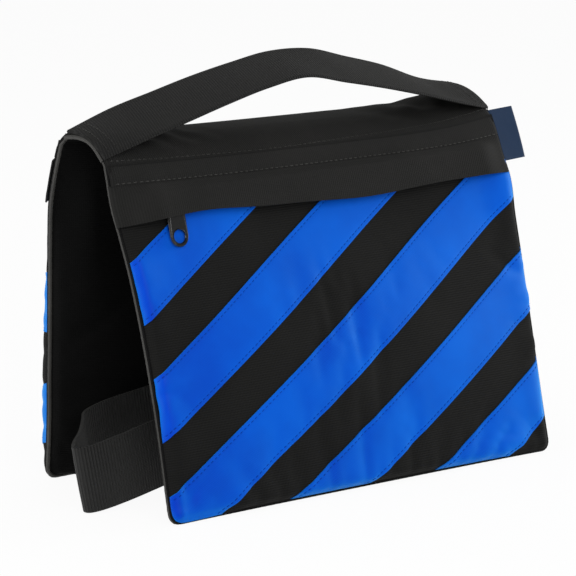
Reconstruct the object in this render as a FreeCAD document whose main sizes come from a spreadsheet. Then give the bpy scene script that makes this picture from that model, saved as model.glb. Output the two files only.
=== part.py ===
import FreeCAD, Part
import math
import os

os.makedirs("parts", exist_ok=True)
vec = FreeCAD.Vector
doc = FreeCAD.newDocument("saddle_ballast_bag")
sheet = doc.addObject("Spreadsheet::Sheet", "Sizes")

# Driving dimensions, in millimetres and degrees.
# A pouch is described in its own frame: x runs along the bag, outward is -Y, and -Z runs
# down the cloth from the fold, whose bending line is the X axis.
driving_sizes = [
    ("panel_width", 267.0),
    ("panel_drop", 197.0),
    ("cloth_wall", 1.0),
    ("seam_depth", 2.6),
    ("saddle_span", 45.0),
    ("arch_rise", 4.5),
    ("front_lean", 16.3),
    ("rear_lean", 6.2),
    ("front_fold_gap", 1.1),
    ("rear_fold_gap", 2.4),
    ("saddle_fold_gap", 1.4),
    ("layer_gap", 0.05),
    ("body_gap", 0.3),
    ("crown_start", 34.0),
    ("outer_crown", 11.0),
    ("inner_belly", 19.0),
    ("foot_depth", 22.0),
    ("foot_power", 3.0),
    ("fullness_power", 1.3),
    ("swell_power", 1.3),
    ("swell_skew", 1.15),
    ("seam_width", 8.0),
    ("seam_recess", 1.2),
    ("flap_hinge", 13.1),
    ("flap_fold_gap", 1.2),
    ("flap_knee", 22.0),
    ("flap_drop", 36.3),
    ("flap_wall", 1.4),
    ("flap_knee_lift", 5.2),
    ("flap_edge_lift", 6.4),
    ("stripe_wall", 0.5),
    ("stripe_width", 28.9),
    ("stripe_pitch", 53.4),
    ("stripe_first", 47.7),
    ("stripe_slant", 31.9),
    ("zip_line", 24.0),
    ("zip_opening", 9.0),
    ("zip_end_gap", 11.8),
    ("tape_width", 8.5),
    ("tape_wall", 0.6),
    ("coil_width", 1.8),
    ("coil_height", 2.2),
    ("coil_parting", 1.6),
    ("stop_length", 2.5),
    ("slider_stop_gap", 3.5),
    ("slider_length", 13.0),
    ("slider_width", 8.4),
    ("slider_plate", 0.7),
    ("slider_post_length", 5.0),
    ("slider_post_width", 1.0),
    ("bail_bar_radius", 0.75),
    ("bail_lift", 2.2),
    ("bail_length", 9.0),
    ("bail_foot_length", 1.5),
    ("knuckle_radius", 1.5),
    ("knuckle_bore", 0.85),
    ("knuckle_length", 5.0),
    ("pull_wall", 1.2),
    ("pull_width", 11.0),
    ("pull_length", 27.0),
    ("pull_hole_radius", 3.4),
    ("liner_wall", 0.4),
    ("liner_side_gap", 16.0),
    ("liner_foot_gap", 10.0),
    ("liner_top", 42.0),
    ("sand_top", 78.0),
    ("handle_width", 38.0),
    ("handle_wall", 2.0),
    ("handle_tab_length", 26.0),
    ("handle_peak_shift", 6.0),
    ("handle_peak_rise", 31.5),
    ("handle_bend_radius", 120.0),
    ("handle_leg_rise", 2.1),
    ("grip_length", 150.0),
    ("label_width", 15.5),
    ("label_drop", 31.0),
    ("label_wall", 0.8),
    ("strap_width", 38.0),
    ("strap_wall", 1.6),
    ("strap_tilt", 9.0),
    ("strap_floor_gap", 0.5),
    ("strap_reach", 21.0),
    ("strap_root", 30.0),
    ("strap_spread", 56.6),
    ("patch_length", 26.0),
    ("patch_overlap", 10.0),
]
for row, (alias, amount) in enumerate(driving_sizes, start=1):
    sheet.set("A" + str(row), alias.replace("_", " "))
    sheet.set("B" + str(row), str(amount))
    sheet.setAlias("B" + str(row), alias)
doc.recompute()


def size(alias):
    return float(getattr(sheet, alias))


def sine(degrees):
    return math.sin(math.radians(degrees))


def cosine(degrees):
    return math.cos(math.radians(degrees))


def moved(corner):
    return FreeCAD.Placement(corner, FreeCAD.Rotation())


pieces = []


def keep(obj, label):
    obj.Label = label
    pieces.append(obj)


half_width = size("panel_width") / 2
drop = size("panel_drop")
half_seam = size("seam_depth") / 2
cloth = size("cloth_wall")
half_stack = half_seam + cloth

# The lower edge of each outer panel stands on the floor, which sets the height of each fold.
lean = {"front": size("front_lean"), "rear": size("rear_lean")}
fold_gap = {"front": size("front_fold_gap"), "rear": size("rear_fold_gap")}
fold_height = {}
for side in lean:
    fold_height[side] = drop * cosine(lean[side]) - half_seam * sine(lean[side])
fold_step = fold_height["rear"] - fold_height["front"]
saddle_tilt = math.degrees(math.asin(fold_step / size("saddle_span")))
half_span = size("saddle_span") * cosine(saddle_tilt) / 2
front_fold = vec(0, -half_span, fold_height["front"])
rear_fold = vec(0, half_span, fold_height["rear"])
home = {
    "front": FreeCAD.Placement(front_fold, FreeCAD.Rotation(0, 0, -lean["front"])),
    "rear": FreeCAD.Placement(rear_fold, FreeCAD.Rotation(180, 0, -lean["rear"])),
}


# Plain blocks, bars and their sums

def block(name, corner, length, width, height):
    box = doc.addObject("Part::Box", name)
    box.setExpression("Length", length)
    box.setExpression("Width", width)
    box.setExpression("Height", height)
    box.Placement.Base = corner
    return box


def bar(name, start, radius, length):
    rod = doc.addObject("Part::Cylinder", name)
    rod.setExpression("Radius", radius)
    rod.setExpression("Height", length)
    rod.Placement = FreeCAD.Placement(start, FreeCAD.Rotation(vec(0, 1, 0), 90))
    return rod


def joined(name, parts, place=None):
    total = doc.addObject("Part::MultiFuse", name)
    total.Shapes = parts
    total.Refine = True
    if place is not None:
        total.Placement = place
    return total


def group_of(name, parts, place=None):
    total = doc.addObject("Part::Compound", name)
    total.Links = parts
    if place is not None:
        total.Placement = place
    return total


def less(name, base, tool, place=None):
    cut = doc.addObject("Part::Cut", name)
    cut.Base = base
    cut.Tool = tool
    if place is not None:
        cut.Placement = place
    return cut


# Cloth surfaces: a height above the seam plane at each point (x, v), v down from the fold

column_count = 19
row_count = 25


def side_fullness(x):
    share = min(abs(x) / half_width, 1.0)
    return (1 - share * share) ** size("fullness_power")


def swell(share):
    inside = min(max(share, 0.0), 1.0)
    return math.sin(math.pi * inside ** size("swell_skew")) ** size("swell_power")


def outer_height(x, v):
    share = (v - size("crown_start")) / (drop - size("crown_start"))
    return half_seam + size("outer_crown") * side_fullness(x) * swell(share)


def floor_line(side, outward):
    """Distance down the cloth at which the floor lies, for a point that far outward."""
    return (fold_height[side] + outward * sine(lean[side])) / cosine(lean[side])


def inner_depth(x, share):
    """How far the inner panel's cavity face lies inward of the seam plane."""
    foot = size("foot_depth") * cosine(lean["front"]) * max(share, 0.0) ** size("foot_power")
    return half_seam + side_fullness(x) * (foot + size("inner_belly") * swell(share))


def inner_end(side, x):
    """Distance down the cloth at which the inner panel meets the floor."""
    depth = inner_depth(x, 1.0) + cloth
    return floor_line(side, -depth)


def inner_share(side, x, v):
    return (v - size("crown_start")) / (inner_end(side, x) - size("crown_start"))


def steps(low, high, count):
    return [low + (high - low) * number / (count - 1) for number in range(count)]


def net_face(rows):
    surface = Part.BSplineSurface()
    surface.interpolate(rows)
    return surface.toShape()


def outer_face(x_low, x_high, v_low, v_high, lift):
    rows = []
    for x in steps(x_low, x_high, column_count):
        rows.append([vec(x, -outer_height(x, v) - lift, -v) for v in steps(v_low, v_high, row_count)])
    return net_face(rows)


def inner_face(side, x_low, x_high, v_low, v_high, lift):
    """The cavity face of the inner panel moved inward by lift; v_high None runs to the floor."""
    rows = []
    for x in steps(x_low, x_high, column_count):
        end = inner_end(side, x) if v_high is None else v_high
        row = []
        for v in steps(v_low, end, row_count):
            row.append(vec(x, inner_depth(x, inner_share(side, x, v)) + lift, -v))
        rows.append(row)
    return net_face(rows)


def solid_between(face_one, face_two):
    walls = [Part.makeRuledSurface(one, two) for one, two in zip(face_one.Edges, face_two.Edges)]
    shell = Part.makeShell([face_one, face_two] + walls)
    shell.sewShape()
    solid = Part.makeSolid(shell)
    if solid.Volume < 0:
        solid.reverse()
    return solid


def cloth_feature(name, shape, place):
    feature = doc.addObject("Part::Feature", name)
    feature.Shape = shape
    feature.Placement = place
    return feature


# Pouch shell

def make_facing(side):
    """Strip of the outer face above the zip."""
    end = size("zip_line") - size("zip_opening") / 2
    strip = block(side + "_facing_block", vec(0, 0, 0), "Sizes.panel_width", "Sizes.cloth_wall",
                  "Sizes.zip_line - Sizes.zip_opening / 2 - Sizes." + side + "_fold_gap")
    strip.Placement = home[side].multiply(moved(vec(-half_width, -half_stack, -end)))
    keep(strip, side + "_top_facing")


def make_outer_panel(side):
    start = size("zip_line") + size("zip_opening") / 2
    face = outer_face(-half_width, half_width, start, drop, 0)
    panel = cloth_feature(side + "_outer", face.extrude(vec(0, -cloth, 0)), home[side])
    keep(panel, side + "_outer_panel")


def floor_plate(side):
    """The part of the inner panel that lies on the floor, from the outer panel to the belly's end."""
    edge = []
    for x in steps(-half_width, half_width, column_count):
        depth = inner_depth(x, 1.0) + cloth / 2
        edge.append(vec(x, depth, -floor_line(side, -depth)))
    rim = Part.BSplineCurve()
    rim.interpolate(edge)
    near = half_seam - cloth * sine(lean[side])
    near_left = vec(-half_width, -near, -floor_line(side, near))
    near_right = vec(half_width, -near, -floor_line(side, near))
    outline = Part.Wire([
        rim.toShape(),
        Part.LineSegment(edge[-1], near_right).toShape(),
        Part.LineSegment(near_right, near_left).toShape(),
        Part.LineSegment(near_left, edge[0]).toShape(),
    ])
    upward = vec(0, -sine(lean[side]), cosine(lean[side])) * cloth
    return Part.Face(outline).extrude(upward)


def make_inner_panel(side):
    face = inner_face(side, -half_width, half_width, fold_gap[side], None, 0)
    sheet_solid = face.extrude(vec(0, cloth, 0))
    shape = sheet_solid.fuse(floor_plate(side))
    keep(cloth_feature(side + "_inner", shape, home[side]), side + "_inner_panel")


def make_seam_tape(side):
    """Folded seam allowance between the two panels along both sides and the top."""
    top = fold_gap[side] + size("seam_recess")
    low = drop - size("seam_width")
    reach = half_width - size("seam_recess")
    face = size("body_gap") - half_seam
    thick = "Sizes.seam_depth - 2 * Sizes.body_gap"
    tall = "Sizes.panel_drop - Sizes.seam_width - Sizes.seam_recess - Sizes." + side + "_fold_gap"
    left = block(side + "_seam_left", vec(-reach, face, -low), "Sizes.seam_width", thick, tall)
    right = block(side + "_seam_right", vec(reach - size("seam_width"), face, -low),
                  "Sizes.seam_width", thick, tall)
    across = block(side + "_seam_top", vec(-reach, face, -top - size("seam_width")),
                   "Sizes.panel_width - 2 * Sizes.seam_recess", thick, "Sizes.seam_width")
    keep(joined(side + "_seam", [left, right, across], home[side]), side + "_seam_tape")


def stripe_layer(side):
    """Cloth-thin layer over the whole outer panel, from which the stripes are cut."""
    start = size("zip_line") + size("zip_opening") / 2
    face = outer_face(-half_width, half_width, start, drop, cloth + size("layer_gap"))
    layer = doc.addObject("Part::Feature", side + "_stripe_layer")
    layer.Shape = face.extrude(vec(0, -size("stripe_wall"), 0))
    return layer


stripe_count = 5


def make_stripes(side):
    layer = stripe_layer(side)
    slant = size("stripe_slant")
    across = vec(sine(slant), 0, -cosine(slant))
    along = vec(cosine(slant), 0, sine(slant))
    turned = FreeCAD.Rotation(vec(0, 1, 0), -slant)
    for number in range(stripe_count):
        lower_edge = size("stripe_first") + number * size("stripe_pitch") + size("stripe_width")
        corner = vec(-half_width, -half_width, 0) + across * lower_edge - along * size("panel_width")
        cutter = block(side + "_stripe_cutter_" + str(number + 1), corner,
                       "3 * Sizes.panel_width", "Sizes.panel_width", "Sizes.stripe_width")
        cutter.Placement = FreeCAD.Placement(corner, turned)
        stripe = doc.addObject("Part::Common", side + "_stripe_piece_" + str(number + 1))
        stripe.Base = layer
        stripe.Tool = cutter
        stripe.Placement = home[side]
        keep(stripe, side + "_stripe_" + str(number + 1))


# Filling

def pillow(side, top, foot_gap, side_gap, lift):
    reach = half_width - side_gap
    low = drop - foot_gap
    outside = outer_face(-reach, reach, top, low, -lift)
    inside = inner_face(side, -reach, reach, top, low, -lift)
    return solid_between(outside, inside)


def make_filling(side):
    side_gap = size("liner_side_gap")
    foot_gap = size("liner_foot_gap")
    wall = size("liner_wall")
    clear = size("layer_gap")
    outside = pillow(side, size("liner_top"), foot_gap, side_gap, clear)
    inside = pillow(side, size("liner_top") + wall, foot_gap + wall, side_gap + wall, clear + wall)
    keep(cloth_feature(side + "_liner", outside.cut(inside), home[side]), side + "_liner_bag")
    within = wall + clear
    sand = pillow(side, size("sand_top"), foot_gap + within, side_gap + within, within + clear)
    keep(cloth_feature(side + "_sand", sand, home[side]), side + "_sand_fill")


# Zip: coil centre height above the seam plane, tape sewn behind the panel edges

tape_top = half_seam
coil_low = tape_top - size("tape_wall") / 2 - size("coil_height") / 2
coil_top = coil_low + size("coil_height")
seam_end = size("seam_recess") + size("seam_width")
zip_reach = half_width - seam_end - size("stop_length") - size("zip_end_gap")
coil_rule = ("Sizes.panel_width - 2 * (Sizes.seam_recess + Sizes.seam_width"
             " + Sizes.stop_length + Sizes.zip_end_gap)")
slider_station = zip_reach - size("slider_stop_gap") - size("slider_length") / 2


def make_zip_tapes(side):
    reach = half_width - seam_end - size("body_gap")
    offset = size("coil_parting") / 2 + size("coil_width")
    long_rule = "Sizes.panel_width - 2 * (Sizes.seam_recess + Sizes.seam_width + Sizes.body_gap)"
    upper_low = -size("zip_line") + offset
    lower_low = -size("zip_line") - offset - size("tape_width")
    for name, low in (("upper", upper_low), ("lower", lower_low)):
        tape = block(side + "_tape_" + name, vec(0, 0, 0), long_rule, "Sizes.tape_wall", "Sizes.tape_width")
        tape.Placement = home[side].multiply(moved(vec(-reach, -tape_top, low)))
        keep(tape, side + "_zip_tape_" + name)


def make_zip_coils(side):
    parting = size("coil_parting") / 2
    upper_low = -size("zip_line") + parting
    lower_low = -size("zip_line") - parting - size("coil_width")
    upper = block(side + "_coil_upper", vec(-zip_reach, -coil_top, upper_low),
                  coil_rule, "Sizes.coil_height", "Sizes.coil_width")
    lower = block(side + "_coil_lower", vec(-zip_reach, -coil_top, lower_low),
                  coil_rule, "Sizes.coil_height", "Sizes.coil_width")
    keep(group_of(side + "_coils", [upper, lower], home[side]), side + "_zip_coils")


def make_zip_stops(side):
    span = "2 * Sizes.coil_width + Sizes.coil_parting"
    low = -size("zip_line") - size("coil_parting") / 2 - size("coil_width")
    left = block(side + "_stop_left", vec(-zip_reach - size("stop_length"), -coil_top, low),
                 "Sizes.stop_length", "Sizes.coil_height", span)
    right = block(side + "_stop_right", vec(zip_reach, -coil_top, low),
                  "Sizes.stop_length", "Sizes.coil_height", span)
    keep(group_of(side + "_stops", [left, right], home[side]), side + "_zip_stops")


bail_height = coil_top + size("body_gap") + size("slider_plate") + size("bail_lift")


def make_slider(side):
    """Zip slider: a plate over and a plate under the coils, the post between, the bar for the pull."""
    centre = -slider_station
    zip_line = size("zip_line")
    start = centre - size("slider_length") / 2
    low = -zip_line - size("slider_width") / 2
    top_face = -coil_top - size("body_gap") - size("slider_plate")
    top_plate = block(side + "_slider_top", vec(start, top_face, low),
                      "Sizes.slider_length", "Sizes.slider_plate", "Sizes.slider_width")
    back_plate = block(side + "_slider_back", vec(start, -coil_low + size("body_gap"), low),
                       "Sizes.slider_length", "Sizes.slider_plate", "Sizes.slider_width")
    post_x = centre - size("slider_post_length") / 2
    post_low = -zip_line - size("slider_post_width") / 2
    post = block(side + "_slider_post", vec(post_x, -coil_top - size("body_gap"), post_low),
                 "Sizes.slider_post_length", "Sizes.coil_height + 2 * Sizes.body_gap",
                 "Sizes.slider_post_width")
    bail_start = centre - size("bail_length") / 2
    bail_end = centre + size("bail_length") / 2
    rod = bar(side + "_bail_bar", vec(bail_start, -bail_height, -zip_line), "Sizes.bail_bar_radius",
              "Sizes.bail_length")
    whole = [top_plate, back_plate, post, rod]
    for name, foot_x in (("left", bail_start), ("right", bail_end - size("bail_foot_length"))):
        corner = vec(foot_x, -bail_height, -zip_line - size("bail_bar_radius"))
        whole.append(block(side + "_bail_foot_" + name, corner,
                           "Sizes.bail_foot_length", "Sizes.bail_lift", "2 * Sizes.bail_bar_radius"))
    keep(joined(side + "_slider", whole, home[side]), side + "_zip_slider")


def origin_plane(body, role):
    return [item for item in body.Origin.OriginFeatures if item.Role == role][0]


def sketch_on(body, role, name):
    sketch = body.newObject("Sketcher::SketchObject", name)
    sketch.AttachmentSupport = [(origin_plane(body, role), "")]
    sketch.MapMode = "FlatFace"
    return sketch


def add_circle(sketch, centre, radius):
    sketch.addGeometry(Part.Circle(centre, vec(0, 0, 1), radius), False)


def make_pull(side):
    """Flat pull that hangs from the slider's bar: a knuckle, a plate and a round end with a hole."""
    body = doc.addObject("PartDesign::Body", side + "_pull")
    centre = -slider_station
    zip_line = size("zip_line")
    half_pull = size("pull_width") / 2
    end_line = zip_line + size("pull_length") - half_pull
    outline = sketch_on(body, "XZ_Plane", side + "_pull_outline")
    start_line = zip_line + size("knuckle_bore") + size("layer_gap")
    neck = size("knuckle_length") / 2
    shoulder = zip_line + 2 * size("knuckle_radius")
    corners = [
        vec(centre - neck, -start_line, 0),
        vec(centre - neck, -shoulder, 0),
        vec(centre - half_pull, -shoulder - size("knuckle_radius"), 0),
        vec(centre - half_pull, -end_line, 0),
    ]
    mirrored = [vec(2 * centre - point.x, point.y, 0) for point in reversed(corners)]
    for one, two in zip(corners, corners[1:]):
        outline.addGeometry(Part.LineSegment(one, two), False)
    outline.addGeometry(Part.Arc(corners[-1], vec(centre, -end_line - half_pull, 0), mirrored[0]), False)
    for one, two in zip(mirrored, mirrored[1:]):
        outline.addGeometry(Part.LineSegment(one, two), False)
    outline.addGeometry(Part.LineSegment(mirrored[-1], corners[0]), False)
    plate = body.newObject("PartDesign::Pad", side + "_pull_plate")
    plate.Profile = outline
    plate.Midplane = True
    plate.setExpression("Length", "Sizes.pull_wall")
    doc.recompute()
    hole = sketch_on(body, "XZ_Plane", side + "_pull_hole")
    add_circle(hole, vec(centre, -end_line, 0), size("pull_hole_radius"))
    opening = body.newObject("PartDesign::Pocket", side + "_pull_opening")
    opening.Profile = hole
    opening.Midplane = True
    opening.Type = "ThroughAll"
    knuckle_ring = sketch_on(body, "YZ_Plane", side + "_knuckle_ring")
    add_circle(knuckle_ring, vec(0, -zip_line, 0), size("knuckle_radius"))
    add_circle(knuckle_ring, vec(0, -zip_line, 0), size("knuckle_bore"))
    knuckle_ring.AttachmentOffset = moved(vec(0, 0, centre))
    knuckle = body.newObject("PartDesign::Pad", side + "_knuckle")
    knuckle.Profile = knuckle_ring
    knuckle.Midplane = True
    knuckle.setExpression("Length", "Sizes.knuckle_length")
    doc.recompute()
    body.Placement = home[side].multiply(moved(vec(0, -bail_height, 0)))
    keep(body, side + "_zip_pull")


# Yoke over the top of each pouch and its loose flap, parted at the flap's bending line

band_end = size("flap_hinge") - size("flap_fold_gap")
flap_start = size("flap_hinge") + size("flap_fold_gap")


def make_yoke_band(side):
    band = block(side + "_band", vec(0, 0, 0), "Sizes.panel_width", "Sizes.cloth_wall",
                 "Sizes.flap_hinge - Sizes.flap_fold_gap - Sizes." + side + "_fold_gap")
    corner = vec(-half_width, -half_stack - size("layer_gap") - cloth, -band_end)
    band.Placement = home[side].multiply(moved(corner))
    keep(band, side + "_yoke_band")


def make_flap(side):
    """Loose flap, bent outward over the zip slider, hanging past the zip."""
    body = doc.addObject("PartDesign::Body", side + "_flap_body")
    root = half_stack + size("body_gap")
    wall = size("flap_wall")
    line = [
        (flap_start, root),
        (size("flap_knee"), root + size("flap_knee_lift")),
        (size("flap_drop"), root + size("flap_edge_lift")),
    ]
    inside = [vec(-lift, -v, 0) for v, lift in line]
    outside = [vec(-lift - wall, -v, 0) for v, lift in reversed(line)]
    corners = inside + outside
    profile = sketch_on(body, "YZ_Plane", side + "_flap_profile")
    for one, two in zip(corners, corners[1:] + corners[:1]):
        profile.addGeometry(Part.LineSegment(one, two), False)
    pad = body.newObject("PartDesign::Pad", side + "_flap_cloth")
    pad.Profile = profile
    pad.Midplane = True
    pad.setExpression("Length", "Sizes.panel_width")
    doc.recompute()
    body.Placement = home[side]
    keep(body, side + "_flap")


# Saddle: concentric arcs about a line below the bag's top

middle_height = (fold_height["front"] + fold_height["rear"]) / 2
arc_radius = (size("saddle_span") ** 2 / 4 + size("arch_rise") ** 2) / (2 * size("arch_rise"))
arc_normal = vec(0, -sine(saddle_tilt), cosine(saddle_tilt))
arc_along = vec(0, cosine(saddle_tilt), sine(saddle_tilt))
arc_centre = vec(0, 0, middle_height) - arc_normal * (arc_radius - size("arch_rise"))
arc_rule = "((Sizes.saddle_span^2 / 4 + Sizes.arch_rise^2) / (2 * Sizes.arch_rise)"
half_arc = math.degrees(math.asin(size("saddle_span") / (2 * arc_radius)))


def arc_direction(angle):
    return arc_normal * cosine(angle) + arc_along * sine(angle)


def sector(name, radius_rule, x_high, length_rule, start, sweep):
    """Solid sector of a round bar along the bag, from its start angle at the front of the saddle."""
    first = arc_direction(start)
    slice_of = doc.addObject("Part::Cylinder", name)
    slice_of.setExpression("Radius", arc_rule + " + " + radius_rule + ")")
    slice_of.setExpression("Height", length_rule)
    slice_of.Angle = sweep
    turn = FreeCAD.Rotation(first, vec(0, 0, 0), vec(-1, 0, 0), "ZXY")
    slice_of.Placement = FreeCAD.Placement(vec(x_high, 0, 0) + arc_centre, turn)
    return slice_of


def arc_piece(name, inner_rule, outer_rule, x_high, length_rule, start, sweep):
    outside = sector(name + "_outside", outer_rule, x_high, length_rule, start, sweep)
    inside = sector(name + "_inside", inner_rule, x_high, length_rule, start, sweep)
    return less(name + "_arc", outside, inside)


def make_saddle():
    gap_angle = math.degrees(size("saddle_fold_gap") / arc_radius)
    start = -half_arc + gap_angle
    sweep = 2 * (half_arc - gap_angle)
    keep(arc_piece("top", "Sizes.seam_depth / 2", "Sizes.seam_depth / 2 + Sizes.cloth_wall",
                   half_width, "Sizes.panel_width", start, sweep), "saddle_top")
    keep(arc_piece("lining", "-Sizes.seam_depth / 2 - Sizes.cloth_wall", "-Sizes.seam_depth / 2",
                   half_width, "Sizes.panel_width", start, sweep), "saddle_lining")
    reach = half_width - size("seam_recess")
    for name, x_high in (("left", -reach + size("seam_width")), ("right", reach)):
        keep(arc_piece(name + "_end", "-Sizes.seam_depth / 2", "Sizes.seam_depth / 2",
                       x_high, "Sizes.seam_width", start, sweep), "saddle_" + name + "_seam_tape")


# Handle: webbing sewn down at both ends of the saddle, arched over it

def make_handle_tabs():
    inner_rule = "Sizes.seam_depth / 2 + Sizes.cloth_wall + Sizes.layer_gap"
    outer_rule = inner_rule + " + Sizes.handle_wall"
    half_tab = math.degrees(size("handle_width") / 2 / (arc_radius + half_stack))
    tab_ends = (("left", -half_width + size("handle_tab_length")), ("right", half_width))
    for name, x_high in tab_ends:
        keep(arc_piece("tab_" + name, inner_rule, outer_rule, x_high, "Sizes.handle_tab_length",
                       -half_tab, 2 * half_tab), "handle_" + name + "_tab")


saddle_crest = arc_centre + arc_normal * (arc_radius + half_stack)


def handle_band():
    """Whole free length of the handle, level across, in the x-z plane about the saddle's crest."""
    half_wall = size("handle_wall") / 2
    root_x = half_width - size("handle_tab_length")
    root_z = size("handle_leg_rise") + half_wall
    peak = vec(size("handle_peak_shift"), 0, size("handle_peak_rise"))
    left = vec(-root_x, 0, root_z)
    right = vec(root_x, 0, root_z)
    left_way = (peak - left).normalize()
    right_way = (right - peak).normalize()
    left_up = vec(-left_way.z, 0, left_way.x)
    right_up = vec(-right_way.z, 0, right_way.x)
    half_turn = left_way.getAngle(right_way) / 2
    tangent = size("handle_bend_radius") * math.tan(half_turn)
    centre = peak - left_way * tangent - left_up * size("handle_bend_radius")
    crest_way = (left_up + right_up).normalize()
    edges = []
    rims = []
    for shift in (half_wall, -half_wall):
        radius = size("handle_bend_radius") + shift
        one = left + left_up * shift
        two = centre + left_up * radius
        three = centre + crest_way * radius
        four = centre + right_up * radius
        five = right + right_up * shift
        edges.append(Part.LineSegment(one, two).toShape())
        edges.append(Part.Arc(two, three, four).toShape())
        edges.append(Part.LineSegment(four, five).toShape())
        rims.append((one, five))
    for upper_end, lower_end in zip(rims[0], rims[1]):
        edges.append(Part.LineSegment(upper_end, lower_end).toShape())
    face = Part.Face(Part.Wire(Part.__sortEdges__(edges)))
    width = size("handle_width")
    face.translate(vec(0, -width / 2, 0))
    return face.extrude(vec(0, width, 0))


def make_handle():
    band = doc.addObject("Part::Feature", "handle_whole")
    band.Shape = handle_band()
    place = FreeCAD.Placement(saddle_crest, FreeCAD.Rotation(vec(1, 0, 0), saddle_tilt))
    half_grip = size("grip_length") / 2
    corner = -size("panel_drop") / 2
    leg_rule = "Sizes.panel_width / 2 - Sizes.grip_length / 2 - Sizes.body_gap"
    cuts = (
        ("handle_left_leg", -half_width, leg_rule),
        ("handle_grip", -half_grip, "Sizes.grip_length"),
        ("handle_right_leg", half_grip + size("body_gap"), leg_rule),
    )
    for label, x_low, length_rule in cuts:
        window = block(label + "_window", vec(x_low, corner, corner), length_rule,
                       "Sizes.panel_drop", "Sizes.panel_drop")
        cut = doc.addObject("Part::Common", label + "_cut")
        cut.Base = band
        cut.Tool = window
        cut.Placement = place
        keep(cut, label)


# Label sewn into the front pouch's right side seam, left bare

def make_label():
    label = block("label_block", vec(0, 0, 0), "Sizes.label_width", "Sizes.label_wall", "Sizes.label_drop")
    low = -fold_gap["front"] - size("seam_recess") - size("label_drop")
    corner = vec(half_width - size("seam_recess"), -size("label_wall") / 2, low)
    label.Placement = home["front"].multiply(moved(corner))
    keep(label, "side_label")


# Leg strap: closed webbing loop between the pouches, sewn to the rear pouch's inner panel

strap_left = -half_width - size("strap_reach")
strap_root = -size("strap_root") - size("body_gap")
strap_root_height = (half_width + size("strap_reach") - size("strap_root")) * sine(size("strap_tilt"))

# Plan of the strap's outer face, counter-clockwise from its root at the rear pouch: each point's
# share of the run from root to left end, and its share of the strap's spread forward of the rear fold.
strap_plan = [
    (0.000, 0.192),
    (0.041, 0.174),
    (0.308, 0.089),
    (0.545, 0.039),
    (0.666, 0.075),
    (0.734, 0.154),
    (0.783, 0.296),
    (0.879, 0.560),
    (0.960, 0.737),
    (1.000, 0.870),
    (0.976, 0.963),
    (0.875, 1.000),
    (0.682, 0.979),
    (0.433, 0.887),
    (0.216, 0.560),
    (0.041, 0.236),
]


def make_strap_patch():
    """Sewn end of the strap, lying on the belly of the rear pouch's inner panel."""
    x_high = size("strap_root") + size("patch_overlap")
    x_low = x_high - size("patch_length")
    belly = inner_depth(x_high, inner_share("rear", x_high, drop - size("strap_width")))
    low = floor_line("rear", -belly) - (size("strap_floor_gap") + strap_root_height) / cosine(lean["rear"])
    face = inner_face("rear", x_low, x_high, low - size("strap_width"), low, cloth + size("layer_gap"))
    patch = face.extrude(vec(0, size("strap_wall"), 0))
    keep(cloth_feature("strap_patch", patch, home["rear"]), "leg_strap_patch")


def strap_line():
    run = strap_root - strap_left
    spread = size("strap_spread")
    return [vec(strap_root - along * run, half_span - forward * spread, 0) for along, forward in strap_plan]


def closed_prism(points, height):
    plan = Part.BSplineCurve()
    plan.interpolate(points, PeriodicFlag=True)
    return Part.Face(Part.Wire(plan.toShape())).extrude(vec(0, 0, height))


def make_leg_strap():
    """Webbing stood on edge along the plan line, its inner face one wall inside the outer one."""
    outer_line = strap_line()
    plan = Part.BSplineCurve()
    plan.interpolate(outer_line, PeriodicFlag=True)
    inner_line = []
    for point in outer_line:
        way = plan.tangent(plan.parameter(point))[0].normalize()
        inner_line.append(point + vec(-way.y, way.x, 0) * size("strap_wall"))
    loop = closed_prism(outer_line, size("strap_width")).cut(closed_prism(inner_line, size("strap_width")))
    pivot = vec(strap_left, 0, 0)
    tilt = FreeCAD.Rotation(vec(0, 1, 0), -size("strap_tilt"))
    place = FreeCAD.Placement(vec(0, 0, size("strap_floor_gap")), tilt, pivot)
    keep(cloth_feature("strap_loop", loop.Solids[0], place), "leg_strap")


for side in ("front", "rear"):
    make_facing(side)
    make_outer_panel(side)
    make_inner_panel(side)
    make_seam_tape(side)
    make_stripes(side)
    make_filling(side)
    make_zip_tapes(side)
    make_zip_coils(side)
    make_zip_stops(side)
    make_slider(side)
    make_pull(side)
    make_yoke_band(side)
    make_flap(side)
make_saddle()
make_handle_tabs()
make_handle()
make_label()
make_strap_patch()
make_leg_strap()
doc.recompute()

for obj in doc.Objects:
    if "Invalid" in obj.State or "Error" in obj.State:
        raise RuntimeError(obj.Label + " did not build: " + str(obj.State))
for piece in pieces:
    if piece.Shape.isNull() or not piece.Shape.isValid():
        raise RuntimeError(piece.Label + " has no valid shape")
for piece in pieces:
    piece.Shape.exportStep("parts/" + piece.Label + ".step")
print(len(pieces), "pieces written")
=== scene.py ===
import math

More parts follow.
